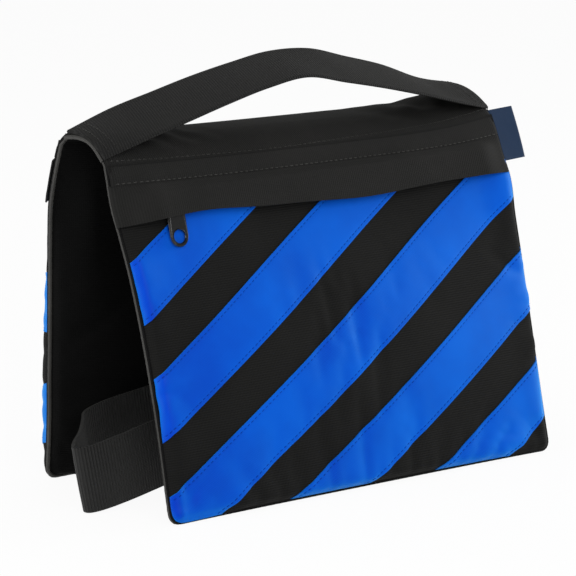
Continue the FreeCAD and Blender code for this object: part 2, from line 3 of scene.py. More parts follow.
import bmesh
import bpy
import numpy as np
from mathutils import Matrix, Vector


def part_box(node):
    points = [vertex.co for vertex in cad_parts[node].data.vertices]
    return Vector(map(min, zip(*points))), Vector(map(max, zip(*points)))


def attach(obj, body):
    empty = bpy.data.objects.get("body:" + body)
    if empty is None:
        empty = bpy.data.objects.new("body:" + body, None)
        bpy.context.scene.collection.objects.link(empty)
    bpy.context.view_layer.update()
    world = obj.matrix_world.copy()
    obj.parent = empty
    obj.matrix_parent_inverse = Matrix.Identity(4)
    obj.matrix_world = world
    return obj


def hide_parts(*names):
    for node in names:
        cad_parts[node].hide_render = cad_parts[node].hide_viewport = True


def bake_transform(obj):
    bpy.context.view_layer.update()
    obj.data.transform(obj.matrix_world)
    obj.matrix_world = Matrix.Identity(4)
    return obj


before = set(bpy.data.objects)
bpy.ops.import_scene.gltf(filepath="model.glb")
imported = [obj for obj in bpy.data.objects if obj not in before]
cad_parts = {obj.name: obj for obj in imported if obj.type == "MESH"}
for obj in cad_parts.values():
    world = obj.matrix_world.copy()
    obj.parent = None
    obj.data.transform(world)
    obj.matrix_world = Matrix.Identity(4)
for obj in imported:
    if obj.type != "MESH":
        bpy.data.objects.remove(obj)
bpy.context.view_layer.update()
scene = bpy.context.scene
millimetre = 0.001

# Shape of the bag, in millimetres and degrees
bag = {
    "halfWidth": 133.5, "drop": 197.0, "halfSeam": 1.3, "cloth": 1.0,
    "lean": {"front": 16.3, "rear": 6.2},
    "foldGap": {"front": 1.1, "rear": 2.4},
    "saddleSpan": 45.0, "archRise": 4.5,
    "panelTop": 28.5, "crownStart": 34.0, "outerCrown": 8.5, "innerBelly": 16.0, "footDepth": 20.0,
    "edgeRise": 1.0, "cornerRadius": 7.0,
}
halfWidth = bag["halfWidth"]
drop = bag["drop"]
halfStack = bag["halfSeam"] + bag["cloth"]
lean = {side: math.radians(bag["lean"][side]) for side in ("front", "rear")}
# Each pouch's outer side along y
wayOut = {"front": -1.0, "rear": 1.0}
foldHeight = {side: drop * math.cos(lean[side]) - bag["halfSeam"] * math.sin(lean[side]) for side in lean}
saddleTilt = math.asin((foldHeight["rear"] - foldHeight["front"]) / bag["saddleSpan"])
halfSpan = bag["saddleSpan"] * math.cos(saddleTilt) / 2
arcRadius = (bag["saddleSpan"] ** 2 / 4 + bag["archRise"] ** 2) / (2 * bag["archRise"])
halfArc = math.asin(bag["saddleSpan"] / 2 / arcRadius)
arcNormal = np.array([0, -math.sin(saddleTilt), math.cos(saddleTilt)])
arcAlong = np.array([0, math.cos(saddleTilt), math.sin(saddleTilt)])
middleHeight = (foldHeight["front"] + foldHeight["rear"]) / 2
arcCentre = np.array([0, 0, middleHeight]) - arcNormal * (arcRadius - bag["archRise"])


# Arrays

def unit(vectors):
    return vectors / np.maximum(np.linalg.norm(vectors, axis=-1, keepdims=True), 1e-9)


# Running length along a line of points
def lengthAlong(points):
    return np.concatenate([[0], np.cumsum(np.linalg.norm(np.diff(points, axis=0), axis=-1))])


# Arrays spread over one grid and stacked as the coordinates of its points
def gridOf(*parts):
    return np.stack(np.broadcast_arrays(*parts), -1)


# Smooth step from 0 to 1 between two values: share squared times (3 minus twice the share)
def ease(value, low, high):
    share = np.clip((value - low) / (high - low), 0, 1)
    return share * share * (3 - 2 * share)


# Four corner numbers of every cell, row by row; a wrapped grid closes on its first column
def gridCells(rows, columns, wrap=False):
    numbers = np.arange(rows * columns).reshape(rows, columns)
    if wrap:
        numbers = np.hstack([numbers, numbers[:, :1]])
    corners = [numbers[:-1, :-1], numbers[:-1, 1:], numbers[1:, 1:], numbers[1:, :-1]]
    return np.stack(corners, -1).reshape(-1, 4)


# The same four corners of a grid of cloth coordinates
def cellCoords(coords):
    corners = [coords[:-1, :-1], coords[:-1, 1:], coords[1:, 1:], coords[1:, :-1]]
    return np.stack(corners, -2).reshape(-1, 4, 2)


# A cubic curve through each four neighbours of a grid, in rows then in columns
def sampleGrid(grid, rowAt, columnAt):
    padded = np.concatenate([2 * grid[:1] - grid[1:2], grid, 2 * grid[-1:] - grid[-2:-1]], 0)
    before = 2 * padded[:, :1] - padded[:, 1:2]
    beyond = 2 * padded[:, -1:] - padded[:, -2:-1]
    padded = np.concatenate([before, padded, beyond], 1)
    row = np.clip(np.floor(rowAt).astype(int), 0, grid.shape[0] - 2)
    column = np.clip(np.floor(columnAt).astype(int), 0, grid.shape[1] - 2)
    rowWeights = cubicWeights(rowAt - row)
    columnWeights = cubicWeights(columnAt - column)
    total = 0
    for i in range(4):
        for j in range(4):
            weight = (rowWeights[i] * columnWeights[j])[..., None]
            total = total + weight * padded[row + i, column + j]
    return total


# Weights of the four neighbours: the cubic whose slope at each point is half the step across it
def cubicWeights(share):
    square, cube = share ** 2, share ** 3
    return [(-share + 2 * square - cube) / 2, (2 - 5 * square + 3 * cube) / 2,
            (share + 4 * square - 3 * cube) / 2, (cube - square) / 2]


# Meshes

# A closed sheet: each row runs over the top, round the edge, back under, and round the other edge
def shellPart(top, bottom, coords, roll=0.35):
    rows, columns = top.shape[:2]

    def rim(edge, inner):
        wall = np.linalg.norm(top[:, edge] - bottom[:, edge], axis=-1, keepdims=True)
        outward = unit(top[:, edge] - top[:, inner])
        return ((top[:, edge] + bottom[:, edge]) / 2 + outward * roll * wall)[:, None]

    ring = np.concatenate([top, rim(-1, -2), bottom[:, ::-1], rim(0, 1)], 1)
    ringCoords = np.concatenate([coords, coords[:, -1:], coords[:, ::-1], coords[:, :1], coords[:, :1]], 1)
    count = ring.shape[1]
    quads = [gridCells(rows, count, wrap=True)]
    quadCoords = [cellCoords(ringCoords)]
    over = np.arange(columns)
    under = 2 * columns - over
    for row in (0, rows - 1):
        cap = np.stack([over[:-1], over[1:], under[1:], under[:-1]], -1)
        quads.append(cap + row * count)
        quadCoords.append(ringCoords[row][cap])
    triangles = np.array([[columns - 1, columns, columns + 1], [2 * columns, 2 * columns + 1, 0]])
    triangles = np.concatenate([triangles + row * count for row in (0, rows - 1)])
    triangleCoords = ringCoords[:, :count].reshape(-1, 2)[triangles]
    return {"points": ring.reshape(-1, 3), "quads": np.concatenate(quads),
            "quadCoords": np.concatenate(quadCoords), "triangles": triangles,
            "triangleCoords": triangleCoords}


# A round bar along a path: centre + radius (cos of the turn sideways + sin of the turn up), closed by fans
def tubePart(centres, sideways, upward, radii, sides=10, closed=False):
    turn = np.arange(sides) * 2 * math.pi / sides
    radii = np.broadcast_to(np.asarray(radii, float), (len(centres), 2))
    ring = (centres[:, None] + radii[:, :1, None] * np.cos(turn)[None, :, None] * sideways[:, None]
            + radii[:, 1:, None] * np.sin(turn)[None, :, None] * upward[:, None])
    length = lengthAlong(centres)
    around = np.arange(sides + 1) * 2 * math.pi * float(radii.mean()) / sides
    coords = gridOf(around[None, :], length[:, None])
    if closed:
        ring = np.concatenate([ring, ring[:1]])
        coords = np.concatenate([coords, coords[-1:] + [0, float(np.linalg.norm(centres[0] - centres[-1]))]])
        cells = gridCells(len(centres), sides, wrap=True)
        joint = gridCells(2, sides, wrap=True)
        joint = np.where(joint < sides, joint + (len(centres) - 1) * sides, joint - sides)
        return {"points": ring[:-1].reshape(-1, 3), "quads": np.concatenate([cells, joint]),
                "quadCoords": cellCoords(coords)}
    points = np.concatenate([ring.reshape(-1, 3), centres[:1], centres[-1:]])
    start, end = len(points) - 2, len(points) - 1
    first = np.arange(sides)
    after = (first + 1) % sides
    last = (len(centres) - 1) * sides
    triangles = np.concatenate([
        np.stack([np.full(sides, start), after, first], -1),
        np.stack([np.full(sides, end), last + first, last + after], -1)])
    return {"points": points, "quads": gridCells(len(centres), sides, wrap=True),
            "quadCoords": cellCoords(coords), "triangles": triangles,
            "triangleCoords": np.zeros((len(triangles), 3, 2))}


# One small shape set down many times: origin + its x, y and z along the three given directions
def repeatPart(shape, origins, along, across, upward):
    x, y, z = np.moveaxis(shape["points"][None, :, :, None], 2, 0)
    points = origins[:, None] + x * along[:, None] + y * across[:, None] + z * upward[:, None]
    shift = (np.arange(len(origins)) * len(shape["points"]))[:, None, None]
    quads = (shape["quads"][None] + shift).reshape(-1, 4)
    triangles = (shape["triangles"][None] + shift).reshape(-1, 3)
    return {"points": points.reshape(-1, 3), "quads": quads, "quadCoords": np.zeros((len(quads), 4, 2)),
            "triangles": triangles, "triangleCoords": np.zeros((len(triangles), 3, 2))}


# A short thread: two four-sided rings between two points
def threadShape(length, width, height):
    ring = np.array([[0, 1, 0], [0, 0, 1], [0, -1, 0], [0, 0, -1]]) * [0, width / 2, height / 2]
    near, far = ring - [length * 0.3, 0, 0], ring + [length * 0.3, 0, 0]
    points = np.concatenate([near, far, [[-length / 2, 0, 0], [length / 2, 0, 0]]])
    first = np.arange(4)
    after = (first + 1) % 4
    quads = np.stack([first, after, after + 4, first + 4], -1)
    triangles = np.concatenate([np.stack([np.full(4, 8), after, first], -1),
                                np.stack([np.full(4, 9), first + 4, after + 4], -1)])
    return {"points": points, "quads": quads, "triangles": triangles}


# Height above the floor, in millimetres, below which cloth flattens on it
floorRest = 0.6


# Cloth flattens on the floor: below the rest height, height
# = rest times e to the power (height over rest, less 1)
def onFloor(points):
    height = points[:, 2]
    pressed = floorRest * np.exp(np.minimum(height / floorRest - 1, 0))
    return np.stack([points[:, 0], points[:, 1], np.where(height < floorRest, pressed, height)], -1)


def addPiece(name, parts, material, sharp=50):
    parts = parts if isinstance(parts, list) else [parts]
    points, faces, coords, start = [], [], [], 0
    for part in parts:
        points.append(part["points"])
        faces += (part["quads"] + start).tolist()
        coords.append(part["quadCoords"].reshape(-1, 2))
        if "triangles" in part:
            faces += (part["triangles"] + start).tolist()
            coords.append(part["triangleCoords"].reshape(-1, 2))
        start += len(part["points"])
    mesh = bpy.data.meshes.new(name)
    mesh.from_pydata((onFloor(np.concatenate(points)) * millimetre).tolist(), [], faces)
    layer = mesh.uv_layers.new(name="clothMap")
    layer.data.foreach_set("uv", np.concatenate(coords).astype(np.float32).ravel())
    work = bmesh.new()
    work.from_mesh(mesh)
    bmesh.ops.recalc_face_normals(work, faces=work.faces)
    work.to_mesh(mesh)
    work.free()
    mesh.polygons.foreach_set("use_smooth", np.ones(len(mesh.polygons), bool))
    mesh.set_sharp_from_angle(angle=math.radians(sharp))
    mesh.materials.append(material)
    piece = bpy.data.objects.new(name, mesh)
    scene.collection.objects.link(piece)
    return piece


# Materials

def linearColour(code, alpha=1.0):
    parts = [int(code[start:start + 2], 16) / 255 for start in (1, 3, 5)]
    linear = [part / 12.92 if part <= 0.04045 else ((part + 0.055) / 1.055) ** 2.4 for part in parts]
    return (*linear, alpha)


# Adds a node with its settings by name, and its inputs by
# name or number: each a value or another node's output
def addNode(tree, kind, settings=None, inputs=None):
    node = tree.nodes.new(kind)
    for name, value in (settings or {}).items():
        setattr(node, name, value)
    for name, value in (inputs or {}).items():
        if isinstance(value, bpy.types.NodeSocket):
            tree.links.new(value, node.inputs[name])
        else:
            node.inputs[name].default_value = value
    return node


def startMaterial(name):
    material = bpy.data.materials.new(name)
    material.use_nodes = True
    material.node_tree.nodes.clear()
    return material, material.node_tree


# Scale of a band or wave pattern whose lines lie this many millimetres apart, on coordinates in millimetres
def bandScale(pitch):
    return math.pi / 10 / pitch


# Noise per millimetre for the fuzz, and per metre for the worn patches; the range of the weave's height that
# runs from the dark colour to the light one; and how far the painted sheen's edge colour spreads where a
# surface is seen at a slant
clothLook = {"fuzzScale": 2.2, "patchScale": 26.0, "weaveRange": (0.15, 1.35), "patchRange": (0.35, 0.65),
             "sheenRoughness": 0.45, "edgeBlend": 0.35}


# Woven cloth: ribs one way, finer threads across them, and slow changes of shade where the cloth was handled
def clothMaterial(name, look):
    material, tree = startMaterial(name)
    place = addNode(tree, "ShaderNodeUVMap", {"uv_map": "clothMap"}).outputs[0]
    turned = addNode(tree, "ShaderNodeMapping", None,
                     {"Vector": place, "Rotation": (0, 0, math.radians(look["turn"]))}).outputs[0]
    ribs, threads = [
        addNode(tree, "ShaderNodeTexWave", {"bands_direction": way},
                {"Vector": turned, "Scale": bandScale(look[pitch]), "Distortion": look["wander"],
                 "Detail": 1.0}).outputs["Fac"]
        for way, pitch in (("X", "ribPitch"), ("Y", "threadPitch"))]
    fuzz = addNode(tree, "ShaderNodeTexNoise", None,
                   {"Vector": place, "Scale": clothLook["fuzzScale"], "Detail": 2.0}).outputs["Fac"]
    weave = addNode(tree, "ShaderNodeMath", {"operation": "MULTIPLY_ADD"},
                    {0: threads, 1: look["threadShare"], 2: ribs}).outputs[0]
    grain = addNode(tree, "ShaderNodeMath", {"operation": "MULTIPLY_ADD"},
                    {0: fuzz, 1: look["fuzzShare"], 2: weave}).outputs[0]
    low, high = clothLook["weaveRange"]
    level = addNode(tree, "ShaderNodeMapRange", None,
                    {"Value": grain, "From Min": low, "From Max": high + look["threadShare"]}).outputs[0]
    woven = addNode(tree, "ShaderNodeMix", {"data_type": "RGBA"},
                    {0: level, 6: linearColour(look["dark"]), 7: linearColour(look["light"])}).outputs[2]
    solid = addNode(tree, "ShaderNodeTexCoord").outputs["Object"]
    patches = addNode(tree, "ShaderNodeTexNoise", None,
                      {"Vector": solid, "Scale": clothLook["patchScale"], "Detail": 3.0}).outputs["Fac"]
    low, high = clothLook["patchRange"]
    shade = addNode(tree, "ShaderNodeMapRange", None,
                    {"Value": patches, "From Min": low, "From Max": high}).outputs[0]
    faded = addNode(tree, "ShaderNodeMath", {"operation": "MULTIPLY"}, {0: shade, 1: look["fade"]}).outputs[0]
    base = addNode(tree, "ShaderNodeMix", {"data_type": "RGBA"},
                   {0: faded, 6: woven, 7: linearColour(look["worn"])}).outputs[2]
    # Painted sheen: the base colour turns toward the light edge colour where the surface is seen at a slant
    if "edge" in look:
        paintedSheen = addNode(tree, "ShaderNodeLayerWeight", None, {"Blend": clothLook["edgeBlend"]})
        base = addNode(tree, "ShaderNodeMix", {"data_type": "RGBA"},
                       {0: paintedSheen.outputs["Facing"], 6: base, 7: linearColour(look["edge"])}).outputs[2]
    bump = addNode(tree, "ShaderNodeBump", None,
                   {"Height": grain, "Strength": look["bump"], "Distance": look["relief"] * millimetre})
    shader = addNode(tree, "ShaderNodeBsdfPrincipled", None, {
        "Base Color": base, "Normal": bump.outputs[0], "Roughness": look["roughness"],
        "Sheen Weight": look["sheen"], "Sheen Roughness": clothLook["sheenRoughness"],
        "Sheen Tint": linearColour(look["sheenColour"]), "Specular IOR Level": look["specular"], "IOR": 1.5})
    addNode(tree, "ShaderNodeOutputMaterial", None, {"Surface": shader.outputs[0]})
    return material


# Black polyester sheeting: fine ribs 1.3 mm apart with a dull, slightly grey bloom on the raised threads
polyester = {"dark": "#0c0c0b", "light": "#1d1d1c", "worn": "#222120", "fade": 0.35, "ribPitch": 1.3,
             "threadPitch": 0.9, "threadShare": 0.45, "fuzzShare": 0.5, "wander": 0.35, "turn": 0,
             "bump": 0.55, "relief": 0.22, "roughness": 0.8, "sheen": 0.04, "sheenColour": "#c9c9c4",
             "specular": 0.16}
yokeCloth = clothMaterial("ribbed polyester cloth", polyester)
# The same sheeting cut the other way for the panels, so its ribs lie across; a darker copy of the yoke's
# cloth, its darkness painted shade
shadedPanelCloth = clothMaterial("ribbed polyester cloth, turned, darkened as painted shade", {
    **polyester, "turn": 90, "dark": "#090909", "light": "#171716", "worn": "#1a1a19", "sheen": 0.03,
    "specular": 0.12})
# Lining: the same sheeting seen on its plain side; its nearly black colour is painted shade between the
# pouches and under the saddle
shadedLiningCloth = clothMaterial("polyester lining darkened as painted shade", {
    **polyester, "dark": "#050505", "light": "#0b0b0b", "worn": "#0d0d0d", "turn": 90, "sheen": 0.01,
    "specular": 0.08})
# Rolled seam edges: the cloth stretched over the turned allowance, coloured lighter than the panels as a
# painted highlight along the roll
highlightedSeamCloth = clothMaterial("seam roll cloth lightened as painted highlight", {
    **polyester, "dark": "#161615", "light": "#33322f", "worn": "#42413e", "turn": 0, "ribPitch": 1.1,
    "sheen": 0.12, "roughness": 0.6, "specular": 0.4, "fade": 0.5})
# Turned-in allowance down in the seam groove: plain, coloured nearly black as painted shade in the groove
shadedAllowanceCloth = clothMaterial("raw cloth edge in the seam", {
    **polyester, "dark": "#060606", "light": "#101010", "worn": "#121211", "sheen": 0.0, "specular": 0.1})
# Flat twill webbing: diagonal ribs 1.5 mm apart, tight and hard-wearing
twillWebbing = clothMaterial("twill polypropylene webbing", {
    **polyester, "dark": "#030303", "light": "#1f1f1e", "worn": "#1b1b1a", "turn": 12, "ribPitch": 1.5,
    "threadPitch": 1.1, "threadShare": 0.25, "bump": 0.8, "relief": 0.35, "roughness": 0.7, "specular": 0.16})
# Ribbed webbing: a cord across the strap every 1.75 mm
ribbedWebbing = clothMaterial("cross-ribbed polypropylene webbing", {
    **polyester, "dark": "#040404", "light": "#1e1e1d", "worn": "#20201f", "turn": 0, "ribPitch": 1.75,
    "threadPitch": 0.9, "threadShare": 0.2, "fuzzShare": 0.3, "wander": 0.1, "bump": 1.0, "relief": 0.5,
    "roughness": 0.66, "specular": 0.3})
# Zip tape: a tight flat weave
tapeCloth = clothMaterial("woven zip tape", {
    **polyester, "ribPitch": 0.8, "threadPitch": 0.6, "relief": 0.12})
# Satin ribbon: long floats along the ribbon give a soft wide shine and a saturated blue; its light edge
# colour is a painted sheen where the ribbon is seen at a slant
satin = {"dark": "#002fae", "light": "#0042c4", "worn": "#0056d4", "fade": 0.6, "edge": "#109cf4",
         "ribPitch": 0.7,
         "threadPitch": 1.4, "threadShare": 0.2, "fuzzShare": 0.3, "wander": 0.5, "turn": 0, "bump": 0.25,
         "relief": 0.08, "roughness": 0.45, "sheen": 0.06, "sheenColour": "#2aa8ff", "specular": 0.06}
satinRibbon = clothMaterial("blue satin ribbon weave with painted sheen", satin)
# The thread's lighter edge colour is painted sheen as well
satinThread = clothMaterial("blue sewing thread with painted sheen", {
    **satin, "dark": "#001a78", "light": "#0a3cb0", "worn": "#002a90", "edge": "#0a60c8", "roughness": 0.7})
blackThread = clothMaterial("black sewing thread", {
    **polyester, "dark": "#242423", "light": "#484744", "worn": "#4c4b48", "sheen": 0.2})
# Label ribbon: close navy taffeta, left bare
labelRibbon = clothMaterial("navy taffeta ribbon", {
    **polyester, "dark": "#0a1d38", "light": "#12304f", "worn": "#163656", "ribPitch": 0.6,
    "threadPitch": 0.6,
    "relief": 0.08, "roughness": 0.6, "sheenColour": "#5f86b5"})


hardLook = {"detail": 4.0, "glossRange": (0.75, 1.3), "bump": 0.3, "specular": 0.5}


# Hard pieces: slow mottling of colour and fine marks in the surface from handling
def hardMaterial(name, look):
    material, tree = startMaterial(name)
    solid = addNode(tree, "ShaderNodeTexCoord").outputs["Object"]
    noise = {"Vector": solid, "Scale": look["markScale"], "Detail": hardLook["detail"]}
    marks = addNode(tree, "ShaderNodeTexNoise", None, noise).outputs["Fac"]
    base = addNode(tree, "ShaderNodeMix", {"data_type": "RGBA"},
                   {0: marks, 6: linearColour(look["dark"]), 7: linearColour(look["light"])}).outputs[2]
    smooth, rough = [look["roughness"] * share for share in hardLook["glossRange"]]
    gloss = addNode(tree, "ShaderNodeMapRange", None, {"Value": marks, "To Min": smooth, "To Max": rough})
    bump = addNode(tree, "ShaderNodeBump", None,
                   {"Height": marks, "Strength": hardLook["bump"], "Distance": look["relief"] * millimetre})
    shader = addNode(tree, "ShaderNodeBsdfPrincipled", None, {
        "Base Color": base, "Normal": bump.outputs[0], "Roughness": gloss.outputs[0],
        "Specular IOR Level": hardLook["specular"], **look.get("extra", {})})
    addNode(tree, "ShaderNodeOutputMaterial", None, {"Surface": shader.outputs[0]})
    return material


# Black enamel baked on die-cast zinc: glossy, so its raised edges catch the light
blackEnamel = hardMaterial("black enamelled zinc", {
    "dark": "#060606", "light": "#101010", "roughness": 0.2, "markScale": 900.0, "relief": 0.02})
# Moulded nylon coil: dark, with the low sheen of drawn plastic thread
nylonCoil = hardMaterial("black nylon coil thread", {
    "dark": "#101010", "light": "#1d1d1c", "roughness": 0.42, "markScale": 1500.0, "relief": 0.02})
# Thin blown film: clear, a little cloudy, with soft creases
clearFilm = hardMaterial("clear polyethylene film", {
    "dark": "#d8dcde", "light": "#eef0f1", "roughness": 0.22, "markScale": 120.0, "relief": 0.3,
    "extra": {"Transmission Weight": 0.85, "IOR": 1.51}})
# Washed builder's sand: pale buff grains about half a millimetre across
drySand = hardMaterial("washed silica sand", {
    "dark": "#8f7a58", "light": "#cbb890", "roughness": 0.9, "markScale": 1800.0, "relief": 0.5})


# Camera and stage

view = {"azimuth": 37.032, "elevation": 12.303, "distance": 2115.64, "lens": 236.01,
        "target": (2.673, 0.0, 97.973)}


def makeCamera():
    turn, rise = math.radians(view["azimuth"]), math.radians(view["elevation"])
    back = np.array([-math.sin(turn) * math.cos(rise), -math.cos(turn) * math.cos(rise), math.sin(rise)])
    place = (np.array(view["target"]) + back * view["distance"]) * millimetre
    data = bpy.data.cameras.new("photoCamera")
    data.lens, data.sensor_width = view["lens"], 36.0
    data.clip_start, data.clip_end = 0.05, 60.0
    camera = bpy.data.objects.new("photoCamera", data)
    camera.location = place.tolist()
    camera.rotation_euler = (math.pi / 2 - rise, 0, -turn)
    scene.collection.objects.link(camera)
    scene.camera = camera


makeCamera()

# Half the floor's width in metres, the grey of its paper, and how bright it and the world are where they show
stage = {"floorSize": 6.0, "paper": 0.84, "whiteShare": 0.94, "worldLevel": 0.42}


def makeStage():
    mesh = bpy.data.meshes.new("studioFloor")
    half = stage["floorSize"]
    corners = [(-half, -half, 0), (half, -half, 0), (half, half, 0), (-half, half, 0)]
    mesh.from_pydata(corners, [], [(0, 1, 2, 3)])
    floor = bpy.data.objects.new("studioFloor", mesh)
    scene.collection.objects.link(floor)
    # White to the camera and to reflections, plain grey to everything else
    material, tree = startMaterial("matt white paper")
    path = addNode(tree, "ShaderNodeLightPath").outputs
    seen = addNode(tree, "ShaderNodeMath", {"operation": "MAXIMUM"},
                   {0: path["Is Camera Ray"], 1: path["Is Glossy Ray"]}).outputs[0]
    seen = addNode(tree, "ShaderNodeMath", {"operation": "MAXIMUM"},
                   {0: seen, 1: path["Is Transmission Ray"]}).outputs[0]
    share = addNode(tree, "ShaderNodeMath", {"operation": "MULTIPLY"}, {0: seen, 1: stage["whiteShare"]})
    paper = addNode(tree, "ShaderNodeBsdfDiffuse", None, {"Color": (stage["paper"],) * 3 + (1,)})
    white = addNode(tree, "ShaderNodeEmission", None, {"Color": (1, 1, 1, 1), "Strength": 1.0})
    mixed = addNode(tree, "ShaderNodeMixShader", None,
                    {0: share.outputs[0], 1: paper.outputs[0], 2: white.outputs[0]})
    addNode(tree, "ShaderNodeOutputMaterial", None, {"Surface": mixed.outputs[0]})
    mesh.materials.append(material)
    world = bpy.data.worlds.new("studio")
    scene.world = world
    world.use_nodes = True
    tree = world.node_tree
    tree.nodes.clear()
    path = addNode(tree, "ShaderNodeLightPath").outputs
    seen = addNode(tree, "ShaderNodeMath", {"operation": "MAXIMUM"},
                   {0: path["Is Camera Ray"], 1: path["Is Transmission Ray"]})
    level = addNode(tree, "ShaderNodeMapRange", None,
                    {"Value": seen.outputs[0], "To Min": stage["worldLevel"], "To Max": 1.0})
    sky = addNode(tree, "ShaderNodeBackground", None, {"Color": (1, 1, 1, 1), "Strength": level.outputs[0]})
    addNode(tree, "ShaderNodeOutputWorld", None, {"Surface": sky.outputs[0]})


# A soft box: its place, the point it faces, its size in metres and its power in watts
lamps = {
    "frontSoftBox": ((-0.45, -1.5, 1.0), (0, 0, 0.1), 1.1, 14.0),
    "leftSoftBox": ((-1.5, 0.1, 0.5), (0, 0, 0.1), 0.8, 10.0),
    "rightSoftBox": ((1.5, -0.35, 0.5), (0, 0, 0.1), 0.8, 11.0),
    "topSoftBox": ((0.1, 0.5, 1.6), (0, 0, 0.15), 1.0, 4.0),
}


def makeLamps():
    for name, (place, aim, width, power) in lamps.items():
        data = bpy.data.lights.new(name, "AREA")
        data.energy, data.size = power, width
        lamp = bpy.data.objects.new(name, data)
        lamp.location = place
        away = np.array(place) - np.array(aim)
        flat = math.hypot(away[0], away[1])
        lamp.rotation_euler = (math.atan2(flat, away[2]), 0, math.atan2(away[0], -away[1]))
        scene.collection.objects.link(lamp)


makeStage()
makeLamps()
scene.view_settings.view_transform = "Standard"
print("stage, lamps and camera made")


# Places on the saddle and the pouches

# How the hung cloth settles: depths by which the saddle sinks at nine evenly spaced places along the bag, how
# far the front fold is drawn in toward the middle, and how far each side seam stands out every 20 mm down
slump = {"depths": (0.5, 2.3, 3.5, 4.5, 5.2, 5.8, 6.2, 5.0, 0.7), "frontShare": 0.65, "frontExtra": 1.2,
         "crest": (-1.2, 1.2, 1.6, 1.8, 2.0, 2.3, 2.5, 2.7, 0.3), "fade": (8.0, 24.0),
         "shoulder": (3.0, 1.0, 2.5), "shoulderFade": (-6.0, 22.0),
         "rearBow": (1.0, 6.0, 9.3, 8.7, 7.3, 5.8, 4.4, 3.1, 1.3, 0.4, 0.0), "bowFrom": (108.0, 131.0),
         "leftBow": (-0.6, -4.4, -2.2, -0.5, 0.0, 0.0, 0.0, 0.0, 0.0, 0.0, 0.0),
         "rightBow": (0.0, -1.2, 2.4, 0.8, 0.3, 0.0, 0.0, 0.0, 0.0, 0.0, 0.0), "bowReach": 200.0}


# A smooth curve through points, at these numbers along them
def curveAt(points, row):
    return sampleGrid(np.repeat(np.asarray(points, float)[:, None], 2, axis=1), row, 0 * row + 0.5)


# A smooth curve through evenly spaced values, at a share of the way from the first to the last
def curveThrough(values, share):
    return curveAt(np.array(values)[:, None], np.clip(share, 0, 1) * (len(values) - 1))[..., 0]


def sinkAt(x):
    return curveThrough(slump["depths"], x / (2 * halfWidth) + 0.5)


# Constant + slope times the share across + bend times its square
def shoulderAt(x):
    share = np.clip(x / halfWidth, -1, 1)
    level, slope, bend = slump["shoulder"]
    return level + slope * share + bend * share ** 2


# A point of a pouch: across the bag, outward from the seam plane, and down the cloth from the fold
def flatPlace(side, across, outward, down):
    sine, cosine = math.sin(lean[side]), math.cos(lean[side])
    facing = wayOut[side]
    x = -facing * across
    y = facing * (halfSpan + outward * cosine + down * sine)
    if side == "front":
        y = y + shoulderAt(x) * (1 - ease(down, *slump["shoulderFade"]))
    z = foldHeight[side] + outward * sine - down * cosine
    return gridOf(x, y, z)


# The same with the cloth slid down under the sunken saddle and the side seams bowed in or out
def pouchPlace(side, across, outward, down):
    sink = sinkAt(across if side == "front" else -across)
    share = down / slump["bowReach"]
    bow = curveThrough(slump["rearBow"], share)
    if side == "front":
        sink = sink * slump["frontShare"] + slump["frontExtra"]
        leftBow, rightBow = curveThrough(slump["leftBow"], share), curveThrough(slump["rightBow"], share)
        bow = np.where(across < 0, leftBow, rightBow)
    outward = outward + ease(np.abs(across), *slump["bowFrom"]) * bow
    return flatPlace(side, across, outward, down + sink * (1 - ease(down, *slump["fade"])))


def outwardWay(side):
    return np.array([0, wayOut[side] * math.cos(lean[side]), math.sin(lean[side])])


def downWay(side):
    return np.array([0, wayOut[side] * math.sin(lean[side]), -math.cos(lean[side])])


# The yoke: columns across, rows over the arc, round the fold and down the band; how far the band stands off
# the pouch, the part of the arc and the distance down that the fold joins, and how the cut ends turn down
saddleShape = {"across": 151, "arcRows": 24, "foldRows": 10, "bandRows": 12, "inset": 0.9,
               "bandLift": 1.05, "bandUnder": 0.1, "bandFrom": (2, 9), "bandEnd": 13.1, "foldReach": 0.9,
               "foldFrom": {"front": 0.85, "rear": 0.72}, "foldTo": {"front": 3.1, "rear": 6.4},
               "edge": 130.3, "edgeRadius": 3.0, "edgeFall": 2.4, "bend": (0.82, 6.0)}


# How far the saddle's cloth has sunk and moved: the folds' own sinking at its two sides and more at the crest
def saddleSettle(x, angle):
    share = np.clip(angle / halfArc, -1, 1)
    side = slump["frontShare"] + (1 - slump["frontShare"]) * (share + 1) / 2
    crest = curveThrough(slump["crest"], x / (2 * halfWidth) + 0.5) * np.cos(math.pi / 2 * share)
    fall = sinkAt(x) * side + slump["frontExtra"] * np.maximum(-share, 0) + crest
    return shoulderAt(x) * ease(-share, 0, 1), fall


# The cloth turns down at its cut ends: fall times (1 - the square root of (1 - the share out, squared))
def edgeFall(across):
    out = np.clip((np.abs(across) - saddleShape["edge"]) / saddleShape["edgeRadius"], 0, 0.995)
    return saddleShape["edgeFall"] * (1 - np.sqrt(1 - out ** 2))


# Soft wrinkles that fan over the saddle from the handle's ends: two waves that fade inward and outward
wrinkles = {"height": 0.85, "from": (40, 92), "to": (118, 132), "wide": (0.16, 9.0, 0.6),
            "fine": (0.31, -14.0, 0.6)}


def saddleWrinkles(across, angle):
    out = np.abs(across)
    near = ease(out, *wrinkles["from"]) * (1 - ease(out, *wrinkles["to"]))
    rate, swing, phase = wrinkles["wide"]
    fineRate, fineSwing, fineShare = wrinkles["fine"]
    fan = np.sin(out * rate + angle * swing + phase) + fineShare * np.sin(out * fineRate + angle * fineSwing)
    return wrinkles["height"] * near * fan * np.cos(math.pi / 2 * np.clip(angle / halfArc, -1, 1))


